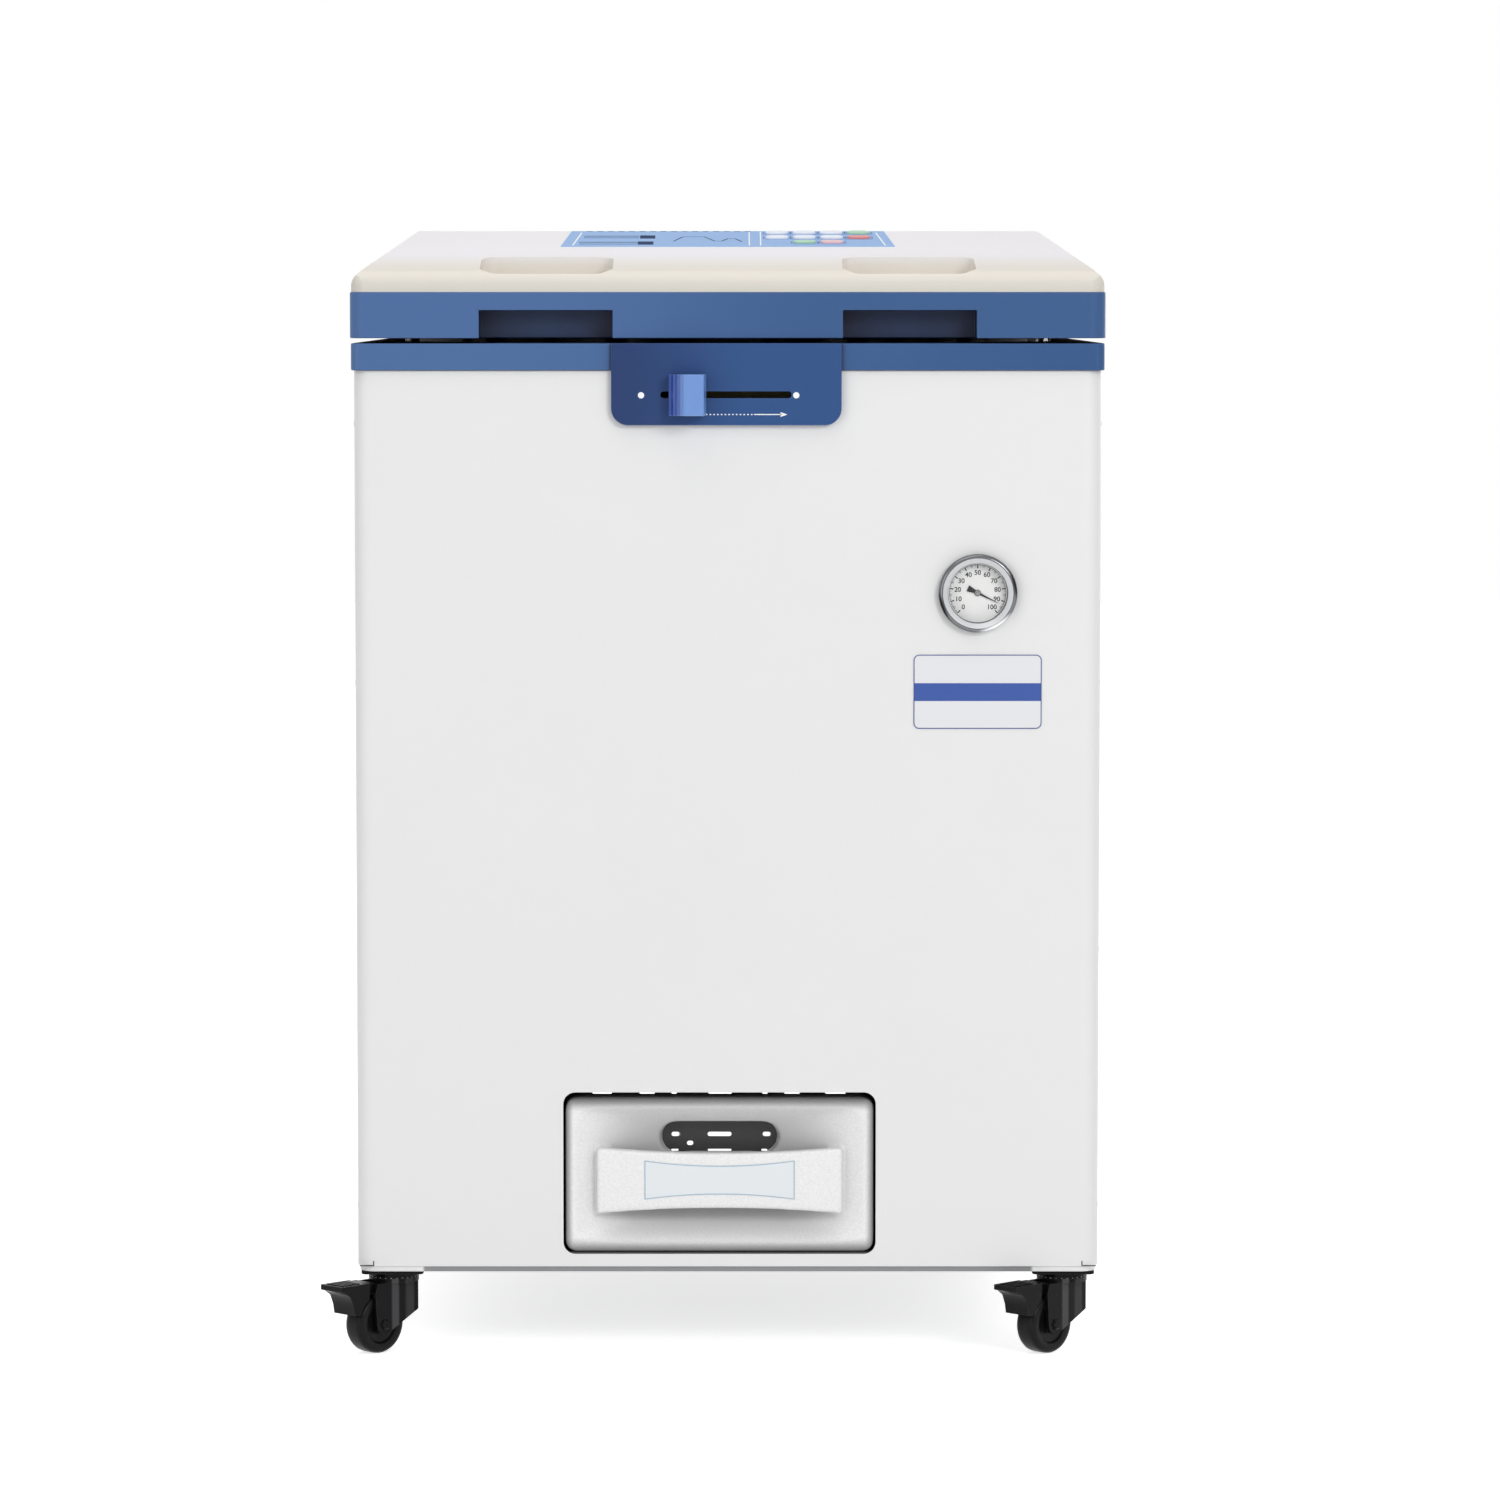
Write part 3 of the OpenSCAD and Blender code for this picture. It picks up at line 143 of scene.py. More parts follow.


# Painted shade: a mask that grows where ambient occlusion finds other surfaces near
def creviceGroup():
    group, start, end = shaderGroup("creviceShade", {"Distance": 0.02, "Amount": 0.5}, "Mask")
    shade = group.nodes.new("ShaderNodeAmbientOcclusion")
    shade.samples = surface["creviceSamples"]
    group.links.new(start["Distance"], shade.inputs["Distance"])
    hidden = addMath(group, "SUBTRACT", 1.0, shade.outputs["AO"])
    group.links.new(addMath(group, "MULTIPLY", hidden, start["Amount"]), end["Mask"])
    return group


# A share that grows along one axis of the object, between two places in metres
def rampGroup():
    inputs = {"X": 0.0, "Y": 0.0, "Z": 1.0, "From": 0.0, "To": 1.0}
    group, start, end = shaderGroup("axisRamp", inputs, "Mask")
    place = group.nodes.new("ShaderNodeTexCoord")
    parts = group.nodes.new("ShaderNodeSeparateXYZ")
    group.links.new(place.outputs["Object"], parts.inputs[0])
    total = addMath(group, "MULTIPLY", parts.outputs["X"], start["X"])
    for axis in "YZ":
        part = addMath(group, "MULTIPLY", parts.outputs[axis], start[axis])
        total = addMath(group, "ADD", total, part)
    share = group.nodes.new("ShaderNodeMapRange")
    share.interpolation_type = "SMOOTHSTEP"
    group.links.new(total, share.inputs["Value"])
    group.links.new(start["From"], share.inputs["From Min"])
    group.links.new(start["To"], share.inputs["From Max"])
    group.links.new(share.outputs["Result"], end["Mask"])
    return group


groups = {"grain": grainGroup(), "brush": brushGroup(), "mottle": mottleGroup(), "edge": edgeGroup(),
          "crevice": creviceGroup(), "ramp": rampGroup()}


def placeGroup(tree, key, values):
    node = tree.nodes.new("ShaderNodeGroup")
    node.node_tree = groups[key]
    for socketName, value in values.items():
        node.inputs[socketName].default_value = value
    return node.outputs[0]


def srgb(code):
    channels = [int(code[i:i + 2], 16) / 255 for i in (0, 2, 4)]
    return [c / 12.92 if c <= 0.04045 else ((c + 0.055) / 1.055) ** 2.4 for c in channels] + [1.0]


def mixColours(tree, mask, first, second):
    mix = tree.nodes.new("ShaderNodeMix")
    mix.data_type = "RGBA"
    tree.links.new(mask, mix.inputs[0])
    for socket, colour in ((mix.inputs[6], first), (mix.inputs[7], second)):
        if isinstance(colour, list):
            socket.default_value = colour
        else:
            tree.links.new(colour, socket)
    return mix.outputs[2]


# A material from its look. Codes are sRGB, fades are (tone, axis, start, end) in metres, edge and
# crevice are (tone, width, amount), grain and brush are (scale, depth, strength). Edge paints a highlight on
# rounded edges, crevice paints shade near other surfaces and glow makes a part shine by itself
def finish(name, look):
    material = bpy.data.materials.new(name)
    material.use_nodes = True
    tree = material.node_tree
    shader = tree.nodes["Principled BSDF"]
    rough = look.get("rough", 0.4)
    shader.inputs["Metallic"].default_value = look.get("metal", 0.0)
    shader.inputs["Coat Weight"].default_value = look.get("coat", 0.0)
    shader.inputs["Specular IOR Level"].default_value = look.get("gloss", 0.5)
    shader.inputs["Alpha"].default_value = look.get("alpha", 1.0)
    shader.inputs["Emission Strength"].default_value = look.get("glow", 0.0)
    scale, amount = look.get("mottle", surface["mottle"])
    mask = placeGroup(tree, "mottle", {"Scale": scale, "Amount": amount})
    colour = srgb(look["tone"])
    if "second" in look:
        colour = mixColours(tree, mask, colour, srgb(look["second"]))
    for code, axis, low, high in look.get("fades", ()):
        values = {"X": axis[0], "Y": axis[1], "Z": axis[2], "From": low, "To": high}
        colour = mixColours(tree, placeGroup(tree, "ramp", values), colour, srgb(code))
    if "edge" in look:
        code, radius, amount = look["edge"]
        edges = placeGroup(tree, "edge", {"Radius": radius, "Amount": amount})
        colour = mixColours(tree, edges, colour, srgb(code))
    if "crevice" in look:
        code, distance, amount = look["crevice"]
        hidden = placeGroup(tree, "crevice", {"Distance": distance, "Amount": amount})
        colour = mixColours(tree, hidden, colour, srgb(code))
    if isinstance(colour, list):
        shader.inputs["Base Color"].default_value = colour
    else:
        tree.links.new(colour, shader.inputs["Base Color"])
    spread = tree.nodes.new("ShaderNodeMapRange")
    spread.inputs["To Min"].default_value = rough * (1 - surface["roughSpread"])
    spread.inputs["To Max"].default_value = rough * (1 + surface["roughSpread"])
    tree.links.new(mask, spread.inputs["Value"])
    tree.links.new(spread.outputs["Result"], shader.inputs["Roughness"])
    for key in ("grain", "brush"):
        if key in look:
            scale, depth, strength = look[key]
            relief = tree.nodes.new("ShaderNodeBump")
            relief.inputs["Strength"].default_value = strength
            relief.inputs["Distance"].default_value = surface["reliefDepth"]
            height = placeGroup(tree, key, {"Scale": scale, "Depth": depth})
            tree.links.new(height, relief.inputs["Height"])
            tree.links.new(relief.outputs["Normal"], shader.inputs["Normal"])
    return material


print("shader groups made")

# Mesh tools: everything is drawn in millimetres and brought to metres at the end

perMetre = 1000
toMetres = Matrix.Scale(1 / perMetre, 4)
# Merge distances, the angle in degrees below which faces are joined, and the number of polygons up
# to which a mesh has its normals weighted by area
clean ={"merge": 0.003, "flatAngle": 0.3, "latheMerge": 0.0005, "largestShaded": 60000}


def meshFrom(bm, name, matrix=Matrix.Identity(4)):
    bmesh.ops.transform(bm, matrix=toMetres @ matrix, verts=bm.verts)
    bmesh.ops.recalc_face_normals(bm, faces=bm.faces)
    mesh = bpy.data.meshes.new(name)
    bm.to_mesh(mesh)
    bm.free()
    return mesh


def addPiece(name, mesh, material, body, smooth=30, stands=()):
    piece = bpy.data.objects.new(name, mesh)
    scene.collection.objects.link(piece)
    if material:
        mesh.materials.clear()
        mesh.materials.append(material)
    mesh.shade_smooth()
    mesh.set_sharp_from_angle(angle=radians(smooth))
    if len(mesh.polygons) < clean["largestShaded"]:
        piece.modifiers.new("evenShade", "WEIGHTED_NORMAL").keep_sharp = True
    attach(piece, body)
    if stands:
        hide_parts(*stands)
    return piece


def dress(material, *names):
    for name in names:
        data = nodes[name].data
        data.materials.clear()
        data.materials.append(material)


def mergedCopy(name):
    bm = bmesh.new()
    bm.from_mesh(nodes[name].data)
    bmesh.ops.transform(bm, matrix=toMetres.inverted(), verts=bm.verts)
    bmesh.ops.remove_doubles(bm, verts=bm.verts, dist=clean["merge"])
    bmesh.ops.dissolve_limit(bm, angle_limit=radians(clean["flatAngle"]), verts=bm.verts, edges=bm.edges)
    return bm


def roundEdges(bm, width, segments, angle):
    sharp = [e for e in bm.edges if len(e.link_faces) == 2 and e.calc_face_angle(0) > radians(angle)]
    if sharp:
        bmesh.ops.bevel(bm, geom=sharp, offset=width, offset_type="OFFSET", segments=segments,
                        profile=0.5, affect="EDGES", clamp_overlap=True)


# A copy of a CAD node with its sharp edges rounded
def softened(name, material, width, segments=2, angle=35, smooth=30):
    bm = mergedCopy(name)
    roundEdges(bm, width, segments, angle)
    mesh = meshFrom(bm, name + "_shape")
    return addPiece(name + "_finished", mesh, material, bodyOf[name], smooth, (name,))


def frameAt(origin, across, up):
    across, up = Vector(across).normalized(), Vector(up).normalized()
    out = across.cross(up)
    matrix = Matrix((across, up, out)).transposed().to_4x4()
    matrix.translation = Vector(origin)
    return matrix


# Drawn on a front face: u to the right, v up, w out of the face
def onFront(x, y, z):
    return frameAt((x, y, z), (1, 0, 0), (0, 0, 1))


def rectOutline(cx, cy, w, h):
    return [(cx + sx * w / 2, cy + sy * h / 2) for sx, sy in ((-1, -1), (1, -1), (1, 1), (-1, 1))]


def discOutline(cx, cy, r, steps=36):
    turns = [radians(360 * k / steps) for k in range(steps)]
    return [(cx + r * cos(a), cy + r * sin(a)) for a in turns]


def roundOutline(cx, cy, w, h, r, steps=8):
    points = []
    for k, (sx, sy) in enumerate(((1, -1), (1, 1), (-1, 1), (-1, -1))):
        for i in range(steps + 1):
            a = radians(-90 + 90 * k + 90 * i / steps)
            points.append((cx + sx * (w / 2 - r) + r * cos(a), cy + sy * (h / 2 - r) + r * sin(a)))
    return points


# A line of one width along a row of points
def strokeOutline(points, width):
    left, right = [], []
    for i, point in enumerate(points):
        before, after = points[max(i - 1, 0)], points[min(i + 1, len(points) - 1)]
        dx, dy = after[0] - before[0], after[1] - before[1]
        size = hypot(dx, dy)
        nx, ny = -dy / size * width / 2, dx / size * width / 2
        left.append((point[0] + nx, point[1] + ny))
        right.append((point[0] - nx, point[1] - ny))
    return right + left[::-1]


def addPrism(bm, outline, low, high):
    bottom = [bm.verts.new((x, y, low)) for x, y in outline]
    top = [bm.verts.new((x, y, high)) for x, y in outline]
    bm.faces.new(bottom[::-1])
    bm.faces.new(top)
    for i in range(len(outline)):
        k = (i + 1) % len(outline)
        bm.faces.new((bottom[i], bottom[k], top[k], top[i]))


def addRing(bm, outer, inner, low, high):
    loops = [[bm.verts.new((x, y, z)) for x, y in outline]
             for outline, z in ((outer, low), (outer, high), (inner, high), (inner, low))]
    for a in range(4):
        first, second = loops[a], loops[(a + 1) % 4]
        for i in range(len(outer)):
            k = (i + 1) % len(outer)
            bm.faces.new((first[i], first[k], second[k], second[i]))


def printed(name, outlines, matrix, low, high, material, body, slotName, rings=()):
    bm = bmesh.new()
    for outline in outlines:
        addPrism(bm, outline, low, high)
    for outer, inner in rings:
        addRing(bm, outer, inner, low, high)
    return addPiece(name, meshFrom(bm, name, matrix), material, body)


# A closed outline of (radius, height) turned about the frame's third axis
def lathe(outline, steps, matrix, name):
    bm = bmesh.new()
    turns = [2 * pi * k / steps for k in range(steps)]
    rows = [[bm.verts.new((r * cos(a), r * sin(a), z)) for r, z in outline] for a in turns]
    count = len(outline)
    for k in range(steps):
        row, after = rows[k], rows[(k + 1) % steps]
        for i in range(count):
            j = (i + 1) % count
            if outline[i][0] == 0 and outline[j][0] == 0:
                continue
            bm.faces.new((row[i], row[j], after[j], after[i]))
    bmesh.ops.remove_doubles(bm, verts=bm.verts, dist=clean["latheMerge"])
    return meshFrom(bm, name, matrix)


# Geometry node groups for what repeats


def geometryGroup(name, inputs):
    group = bpy.data.node_groups.new(name, "GeometryNodeTree")
    kinds = {bool: "Bool", int: "Int", float: "Float", tuple: "Vector"}
    for socketName, value in inputs.items():
        kind = "NodeSocket" + kinds[type(value)]
        socket = group.interface.new_socket(socketName, in_out="INPUT", socket_type=kind)
        socket.default_value = value
    group.interface.new_socket("Material", in_out="INPUT", socket_type="NodeSocketMaterial")
    group.interface.new_socket("Geometry", in_out="OUTPUT", socket_type="NodeSocketGeometry")
    return group, group.nodes.new("NodeGroupInput").outputs


def closeGroup(group, start, instances):
    real = group.nodes.new("GeometryNodeRealizeInstances")
    paint = group.nodes.new("GeometryNodeSetMaterial")
    end = group.nodes.new("NodeGroupOutput")
    group.links.new(instances, real.inputs[0])
    group.links.new(real.outputs[0], paint.inputs["Geometry"])
    group.links.new(start["Material"], paint.inputs["Material"])
    group.links.new(paint.outputs["Geometry"], end.inputs["Geometry"])
    return group


# Blocks or balls round a circle
def circleGroup():
    group, start = geometryGroup("aroundCircle", {"Count": 12, "Start": 0.0, "Step": 0.5, "Radius": 10.0,
                                                  "Size": (1.0, 1.0, 1.0), "Balls": False})
    link, new = group.links.new, group.nodes.new
    cube = new("GeometryNodeMeshCube")
    link(start["Size"], cube.inputs["Size"])
    ball = new("GeometryNodeMeshUVSphere")
    ball.inputs["Segments"].default_value = 12
    ball.inputs["Rings"].default_value = 8
    half = new("ShaderNodeSeparateXYZ")
    link(start["Size"], half.inputs[0])
    link(half.outputs["X"], ball.inputs["Radius"])
    choose = new("GeometryNodeSwitch")
    choose.input_type = "GEOMETRY"
    link(start["Balls"], choose.inputs["Switch"])
    link(cube.outputs["Mesh"], choose.inputs["False"])
    link(ball.outputs["Mesh"], choose.inputs["True"])
    outwards = new("ShaderNodeCombineXYZ")
    link(start["Radius"], outwards.inputs["X"])
    shifted = new("GeometryNodeTransform")
    link(choose.outputs[0], shifted.inputs["Geometry"])
    link(outwards.outputs[0], shifted.inputs["Translation"])
    points = new("GeometryNodeMeshLine")
    points.inputs["Offset"].default_value = (0, 0, 0)
    link(start["Count"], points.inputs["Count"])
    index = new("GeometryNodeInputIndex")
    turned = addMath(group, "MULTIPLY", index.outputs[0], start["Step"])
    turn = addMath(group, "ADD", turned, start["Start"])
    angles = new("ShaderNodeCombineXYZ")
    link(turn, angles.inputs["Z"])
    rotation = new("FunctionNodeEulerToRotation")
    link(angles.outputs[0], rotation.inputs[0])
    place = new("GeometryNodeInstanceOnPoints")
    link(points.outputs[0], place.inputs["Points"])
    link(shifted.outputs[0], place.inputs["Instance"])
    link(rotation.outputs[0], place.inputs["Rotation"])
    return closeGroup(group, start, place.outputs[0])


# Blocks in a straight row
def rowGroup():
    group, start = geometryGroup("alongRow", {"Count": 5, "Begin": (0.0, 0.0, 0.0), "Step": (1.0, 0.0, 0.0),
                                              "Size": (1.0, 1.0, 1.0)})
    link, new = group.links.new, group.nodes.new
    cube = new("GeometryNodeMeshCube")
    link(start["Size"], cube.inputs["Size"])
    points = new("GeometryNodeMeshLine")
    link(start["Count"], points.inputs["Count"])
    link(start["Begin"], points.inputs["Start Location"])
    link(start["Step"], points.inputs["Offset"])
    place = new("GeometryNodeInstanceOnPoints")
    link(points.outputs[0], place.inputs["Points"])
    link(cube.outputs["Mesh"], place.inputs["Instance"])
    return closeGroup(group, start, place.outputs[0])


repeaters = {"circle": circleGroup(), "row": rowGroup()}


def evaluated(piece):
    return bpy.data.meshes.new_from_object(piece.evaluated_get(bpy.context.evaluated_depsgraph_get()))


def repeatedMesh(key, values, material, matrix):
    carrier = bpy.data.objects.new("carrier", bpy.data.meshes.new("carrier"))
    scene.collection.objects.link(carrier)
    modifier = carrier.modifiers.new("repeat", "NODES")
    modifier.node_group = repeaters[key]
    sockets = {item.name: item.identifier for item in repeaters[key].interface.items_tree
               if item.in_out == "INPUT"}
    for socketName, value in dict(values, Material=material).items():
        modifier[sockets[socketName]] = value
    carrier.update_tag()
    mesh = evaluated(carrier)
    bpy.data.objects.remove(carrier)
    mesh.transform(toMetres @ matrix)
    return mesh


def repeated(name, key, values, material, matrix, body, smooth=30):
    return addPiece(name, repeatedMesh(key, values, material, matrix), None, body, smooth)


def textMesh(words, size, depth, weight):
    curve = bpy.data.curves.new(words, "FONT")
    curve.body = words
    curve.size = size
    curve.extrude = depth / 2
    curve.offset = weight
    curve.align_x = "CENTER"
    curve.align_y = "CENTER"
    carrier = bpy.data.objects.new("carrier", curve)
    scene.collection.objects.link(carrier)
    mesh = evaluated(carrier)
    bpy.data.objects.remove(carrier)
    return mesh


print("tools made")

# Cabinet: painted sheet panels with a folded edge

# The crevice tone is painted shade where the panels meet other parts
panelLook = {"tone": "E9E9E9", "second": "ECECEC", "rough": 0.42, "grain": (1400.0, 0.5, 0.06),
             "crevice": ("B8B8BA", 0.012, 0.5)}
panelWhite = finish("panelWhite", panelLook)
for name in ("front_panel", "side_panel_left", "side_panel_right", "rear_panel"):
    softened(name, panelWhite, 0.5)

zincLook = {"tone": "9A9C9E", "second": "AEB0B2", "rough": 0.4, "metal": 0.9, "grain": (300.0, 0.5, 0.15),
            "mottle": (40.0, 1.4)}
dress(finish("zincSheet", zincLook), "inner_frame")
panLook = {"tone": "8E8F91", "second": "97989A", "rough": 0.5, "gloss": 0.3, "grain": (900.0, 0.5, 0.08),
           "fades": (("F0F0F0", (-1, 0, 0), 0.252, 0.255), ("F0F0F0", (1, 0, 0), 0.252, 0.255))}
softened("base_pan", finish("panPaint", panLook), 0.6)
inkLook = {"tone": "101012", "second": "18181A", "rough": 0.45}
inkBlack = finish("inkBlack", inkLook)
# Faces of the part that prints and screws lie on, as distances from the vessel's axis
faceAt = {"front": -310.0, "rear": 310.0, "side": 309.0, "latch": -316.0, "plate": -310.8}
# Folded corners at the foot, as lines: (distance from the middle, height, width, depth)
cornerLines = ((301.0, 75.2, 12.0, 0.9), (295.2, 77.2, 0.9, 4.0))
cornerLayer = (-0.05, 0.1)
printed("corner_notches", [rectOutline(s * x, z, w, h) for x, z, w, h in cornerLines for s in (-1, 1)],
        onFront(0, faceAt["front"], 0), *cornerLayer, inkBlack, "cabinet", "panel_white")

# Painted light on the rim: darker towards the right, a painted highlight on edges and painted shade in
# crevices
rimLook = {"tone": "46689A", "second": "4A6C9E", "rough": 0.4, "gloss": 0.3, "grain": (1100.0, 0.5, 0.06),
           "edge": ("7F97C0", 0.0014, 0.5), "fades": (("2F5486", (1, 0, 0), -0.25, 0.3),),
           "crevice": ("0C1226", 0.03, 1.6)}
rimBlue = finish("rimBlue", rimLook)
softened("top_rim", rimBlue, 1.2, 3)
print("cabinet dressed")

# Lid

# Painted light on the band: a painted highlight on edges, painted shade in the grip notches and darker
# towards the right
bandLook = {"tone": "456699", "second": "496A9D", "rough": 0.45, "gloss": 0.3, "grain": (1300.0, 0.6, 0.08),
            "edge": ("7C92BC", 0.0014, 0.45), "crevice": ("161F3C", 0.05, 1.6),
            "fades": (("36598A", (1, 0, 0), -0.15, 0.1),)}
bandBlue = finish("bandBlue", bandLook)
softened("lid_band", bandBlue, 1.0, 3)

# Painted shade: darker and warmer towards the lower front edge, and in the grip recesses
coverLook = {"tone": "F2F0F4", "second": "F0EEF1", "rough": 0.58, "gloss": 0.3, "grain": (900.0, 0.5, 0.04),
             "fades": (("E6E0D6", (0, 0, -1), -0.918, -0.902), ("D8D4CB", (0, 0, -1), -0.902, -0.888)),
             "crevice": ("DAD3C8", 0.03, 0.3)}
coverIvory = finish("coverIvory", coverLook)
softened("lid_cover", coverIvory, 2.4, segments=4, angle=20, smooth=40)
print("lid dressed")

# Latch: housing, slot marks and the sliding knob

# Painted light on the housing: a painted highlight on edges, and darker towards the left
latchLook = {"tone": "274C82", "second": "2B5086", "rough": 0.4, "gloss": 0.3, "grain": (1300.0, 0.4, 0.06),
             "edge": ("6F8ABB", 0.0012, 0.45), "fades": (("1C3667", (-1, 0, 0), -0.02, 0.10),)}
latchBlue = finish("latchBlue", latchLook)
softened("latch_housing", latchBlue, 1.0, 3)

printLook = {"tone": "F4F6FA", "second": "FFFFFF", "rough": 0.4}
printWhite = finish("printWhite", printLook)
latchFace = onFront(0, faceAt["latch"], 0)
latchPrint = {"discs": (-71.5, 56.4), "discHeight": 799.7, "discRadius": 2.6, "arrowHeight": 783.9,
              "shaft": (33.0, 23.0, 0.8), "tip": (43.5, 49.0, 2.0), "layer": (-0.05, 0.12)}
latchRow = {"Count": 13, "Begin": (-17.5, latchPrint["arrowHeight"], 0.035), "Step": (3.1, 0.0, 0.0),
            "Size": (1.3, 0.9, 0.17)}
discs = [discOutline(x, latchPrint["discHeight"], latchPrint["discRadius"]) for x in latchPrint["discs"]]
middle, length, width = latchPrint["shaft"]
tipStart, tipEnd, tipHalf = latchPrint["tip"]
z = latchPrint["arrowHeight"]
arrow = [rectOutline(middle, z, length, width),
         [(tipStart, z - tipHalf), (tipEnd, z), (tipStart, z + tipHalf)]]
printed("latch_marks", discs + arrow, latchFace, *latchPrint["layer"], printWhite, "cabinet",
        "moulded_blue")
repeated("latch_dots", "row", latchRow, printWhite, latchFace, "cabinet")

# Painted light on the knob: a painted highlight on edges, and a darker left flank
knobLook = {"tone": "6A92D2", "second": "7299DA", "rough": 0.3, "coat": 0.2, "grain": (900.0, 0.4, 0.05),
            "edge": ("B4CAF4", 0.001, 0.6), "fades": (("194196", (-1, 0, 0), 0.034, 0.043),)}
knobBlue = finish("knobBlue", knobLook)
softened("lock_knob", knobBlue, 0.35, angle=12)
print("latch dressed")

# Controls: printed film with a display field, a curve and ten keys

film = {"origin": (0, -102, 936.5), "slope": 9.6, "top": 0.6, "sink": 0.02, "ink": 0.1, "screen": 0.16}
filmSlope = radians(film["slope"])
filmFace = frameAt(film["origin"], (1, 0, 0), (0, cos(filmSlope), sin(filmSlope)))
inkLayer = (film["top"] - film["sink"], film["top"] + film["ink"])
screenLayer = (film["top"] - film["sink"], film["top"] + film["screen"])
filmLook = {"tone": "9FBDE7", "second": "A5C2EA", "rough": 0.8, "gloss": 0.05, "grain": (1800.0, 0.4, 0.05)}
filmBlue = finish("filmBlue", filmLook)
softened("control_overlay", filmBlue, 0.15, 1)

inkLooks = {"fieldBlue": {"tone": "7C92C4", "second": "8197C8", "rough": 0.8, "gloss": 0.05},
            "screenNavy": {"tone": "1E3054", "second": "253A60", "rough": 0.6, "gloss": 0.05},
            "inkDark": {"tone": "22304E", "second": "2A3856", "rough": 0.7, "gloss": 0.05}}
inks = {name: finish(name, look) for name, look in inkLooks.items()}
# On the film: two screens with bars beside them as (middle, place up the slope, width, depth),
# a curve, white rules as (start, end, width), and a row of dashes
screenRows = ((-68.2, -35.4, 12.9, 16.2), (-69.5, -67.8, 13, 16.2), (-99, -31, 47, 1.8), (-99, -40, 47, 1.4),
              (-101, -63.5, 50, 1.8), (-101, -73, 50, 1.4))
curve = {"points": ((-46, -58), (-38, -34), (-20, -34), (-11, -57), (-5, -57), (0, -44), (6, -44), (12, -60)),
         "width": 1.3}
ruleRows = (((-131, -80), (-124.8, -12), 1.2), ((18.2, -80), (18.2, -8), 1.0),
            ((27.8, -80), (27.8, -8), 1.0), ((133, -80), (126.5, -12), 1.2))
dashRow = {"Count": 16, "Begin": (-118.0, -6.0, film["top"] + 0.04), "Step": (9.0, 0.0, 0.0),
           "Size": (5.0, 1.6, 0.12)}
printed("film_screens", [rectOutline(*row) for row in screenRows], filmFace, *screenLayer,
        inks["screenNavy"], "lid", "overlay_blue")
printed("film_curve", [strokeOutline(curve["points"], curve["width"])], filmFace, *inkLayer,
        inks["inkDark"], "lid", "overlay_blue")
printed("film_lines", [strokeOutline((start, end), width) for start, end, width in ruleRows], filmFace,
        *inkLayer, printWhite, "lid", "overlay_blue")
repeated("film_dashes", "row", dashRow, inks["inkDark"], filmFace, "lid")

keyLooks = {"key_white": {"tone": "E6EBF6", "second": "EEF1F9", "rough": 0.4, "gloss": 0.2},
            "key_green": {"tone": "A6D2B6", "second": "AED8BD", "rough": 0.4, "gloss": 0.2},
            "key_pink": {"tone": "E4BCC4", "second": "EAC6CC", "rough": 0.4, "gloss": 0.2},
            "key_red": {"tone": "DC8888", "second": "E29292", "rough": 0.4, "gloss": 0.2}}
keyPaints = {name: finish(name, look) for name, look in keyLooks.items()}
# A printed ring round each key: (how much larger than the key, corner radius), outside and inside
ringEdges = ((4.4, 4.4), (2.4, 3.4))
toFilm = (toMetres @ filmFace).inverted()
rings = []
for name in ("key_%d" % i for i in range(1, 11)):
    softened(name, keyPaints[slotOf[name]], 0.7, 3)
    corners = [toFilm @ vertex.co for vertex in nodes[name].data.vertices]
    left, right = min(c.x for c in corners), max(c.x for c in corners)
    low, high = min(c.y for c in corners), max(c.y for c in corners)
    cx, cy, w, h = (left + right) / 2, (low + high) / 2, right - left, high - low
    rings.append([roundOutline(cx, cy, w + more, h + more, r) for more, r in ringEdges])
printed("key_rings", [], filmFace, *inkLayer, inks["fieldBlue"], "lid", "overlay_blue", rings)
boardLook = {"tone": "1F6B45", "second": "26784E", "rough": 0.35, "grain": (700.0, 0.3, 0.1)}
dress(finish("boardGreen", boardLook), "keypad_board")
print("controls dressed")

# Dial gauge: rolled bezel, printed dial, needle and glass

gauge = {"middle": 206.7, "height": 636.3, "steps": 128, "hubSteps": 40}
gaugeFace = onFront(gauge["middle"], faceAt["front"], gauge["height"])
chromeLook = {"tone": "8E9092", "second": "A5A7A9", "rough": 0.18, "metal": 1.0, "mottle": (30.0, 0.6)}
chrome = finish("chrome", chromeLook)
# Painted reflections on the bezel: dark on the left and on the right, light towards the lower right
bezelLook = {"tone": "66686A", "second": "75777A", "rough": 0.16, "metal": 1.0, "mottle": (30.0, 0.6),
             "fades": (("1C1C1E", (-0.94, 0, -0.34), -0.3822, -0.3795),
                       ("242426", (0.97, 0, 0.26), 0.3945, 0.3975),
                       ("D8D9DB", (0.5, 0, -0.87), -0.4240, -0.4190))}
bezelOutline = [(32.1, 0), (32.5, 0.5), (32.5, 4.6), (32.2, 6.0), (31.4, 7.2), (30.2, 7.9), (29.0, 7.9),
                (28.2, 7.4), (27.6, 6.4), (27.0, 5.7), (25.4, 4.9), (24.85, 4.5), (24.75, 3.9), (24.75, -6),
                (23.25, -6), (23.25, -7), (24.75, -7), (24.75, -33.5), (0, -33.5), (0, -35), (26.25, -35),
                (26.25, 0)]
addPiece("gauge_bezel_turned", lathe(bezelOutline, gauge["steps"], gaugeFace, "gauge_bezel_turned"),
         finish("bezelChrome", bezelLook), "cabinet", smooth=35, stands=("gauge_bezel",))

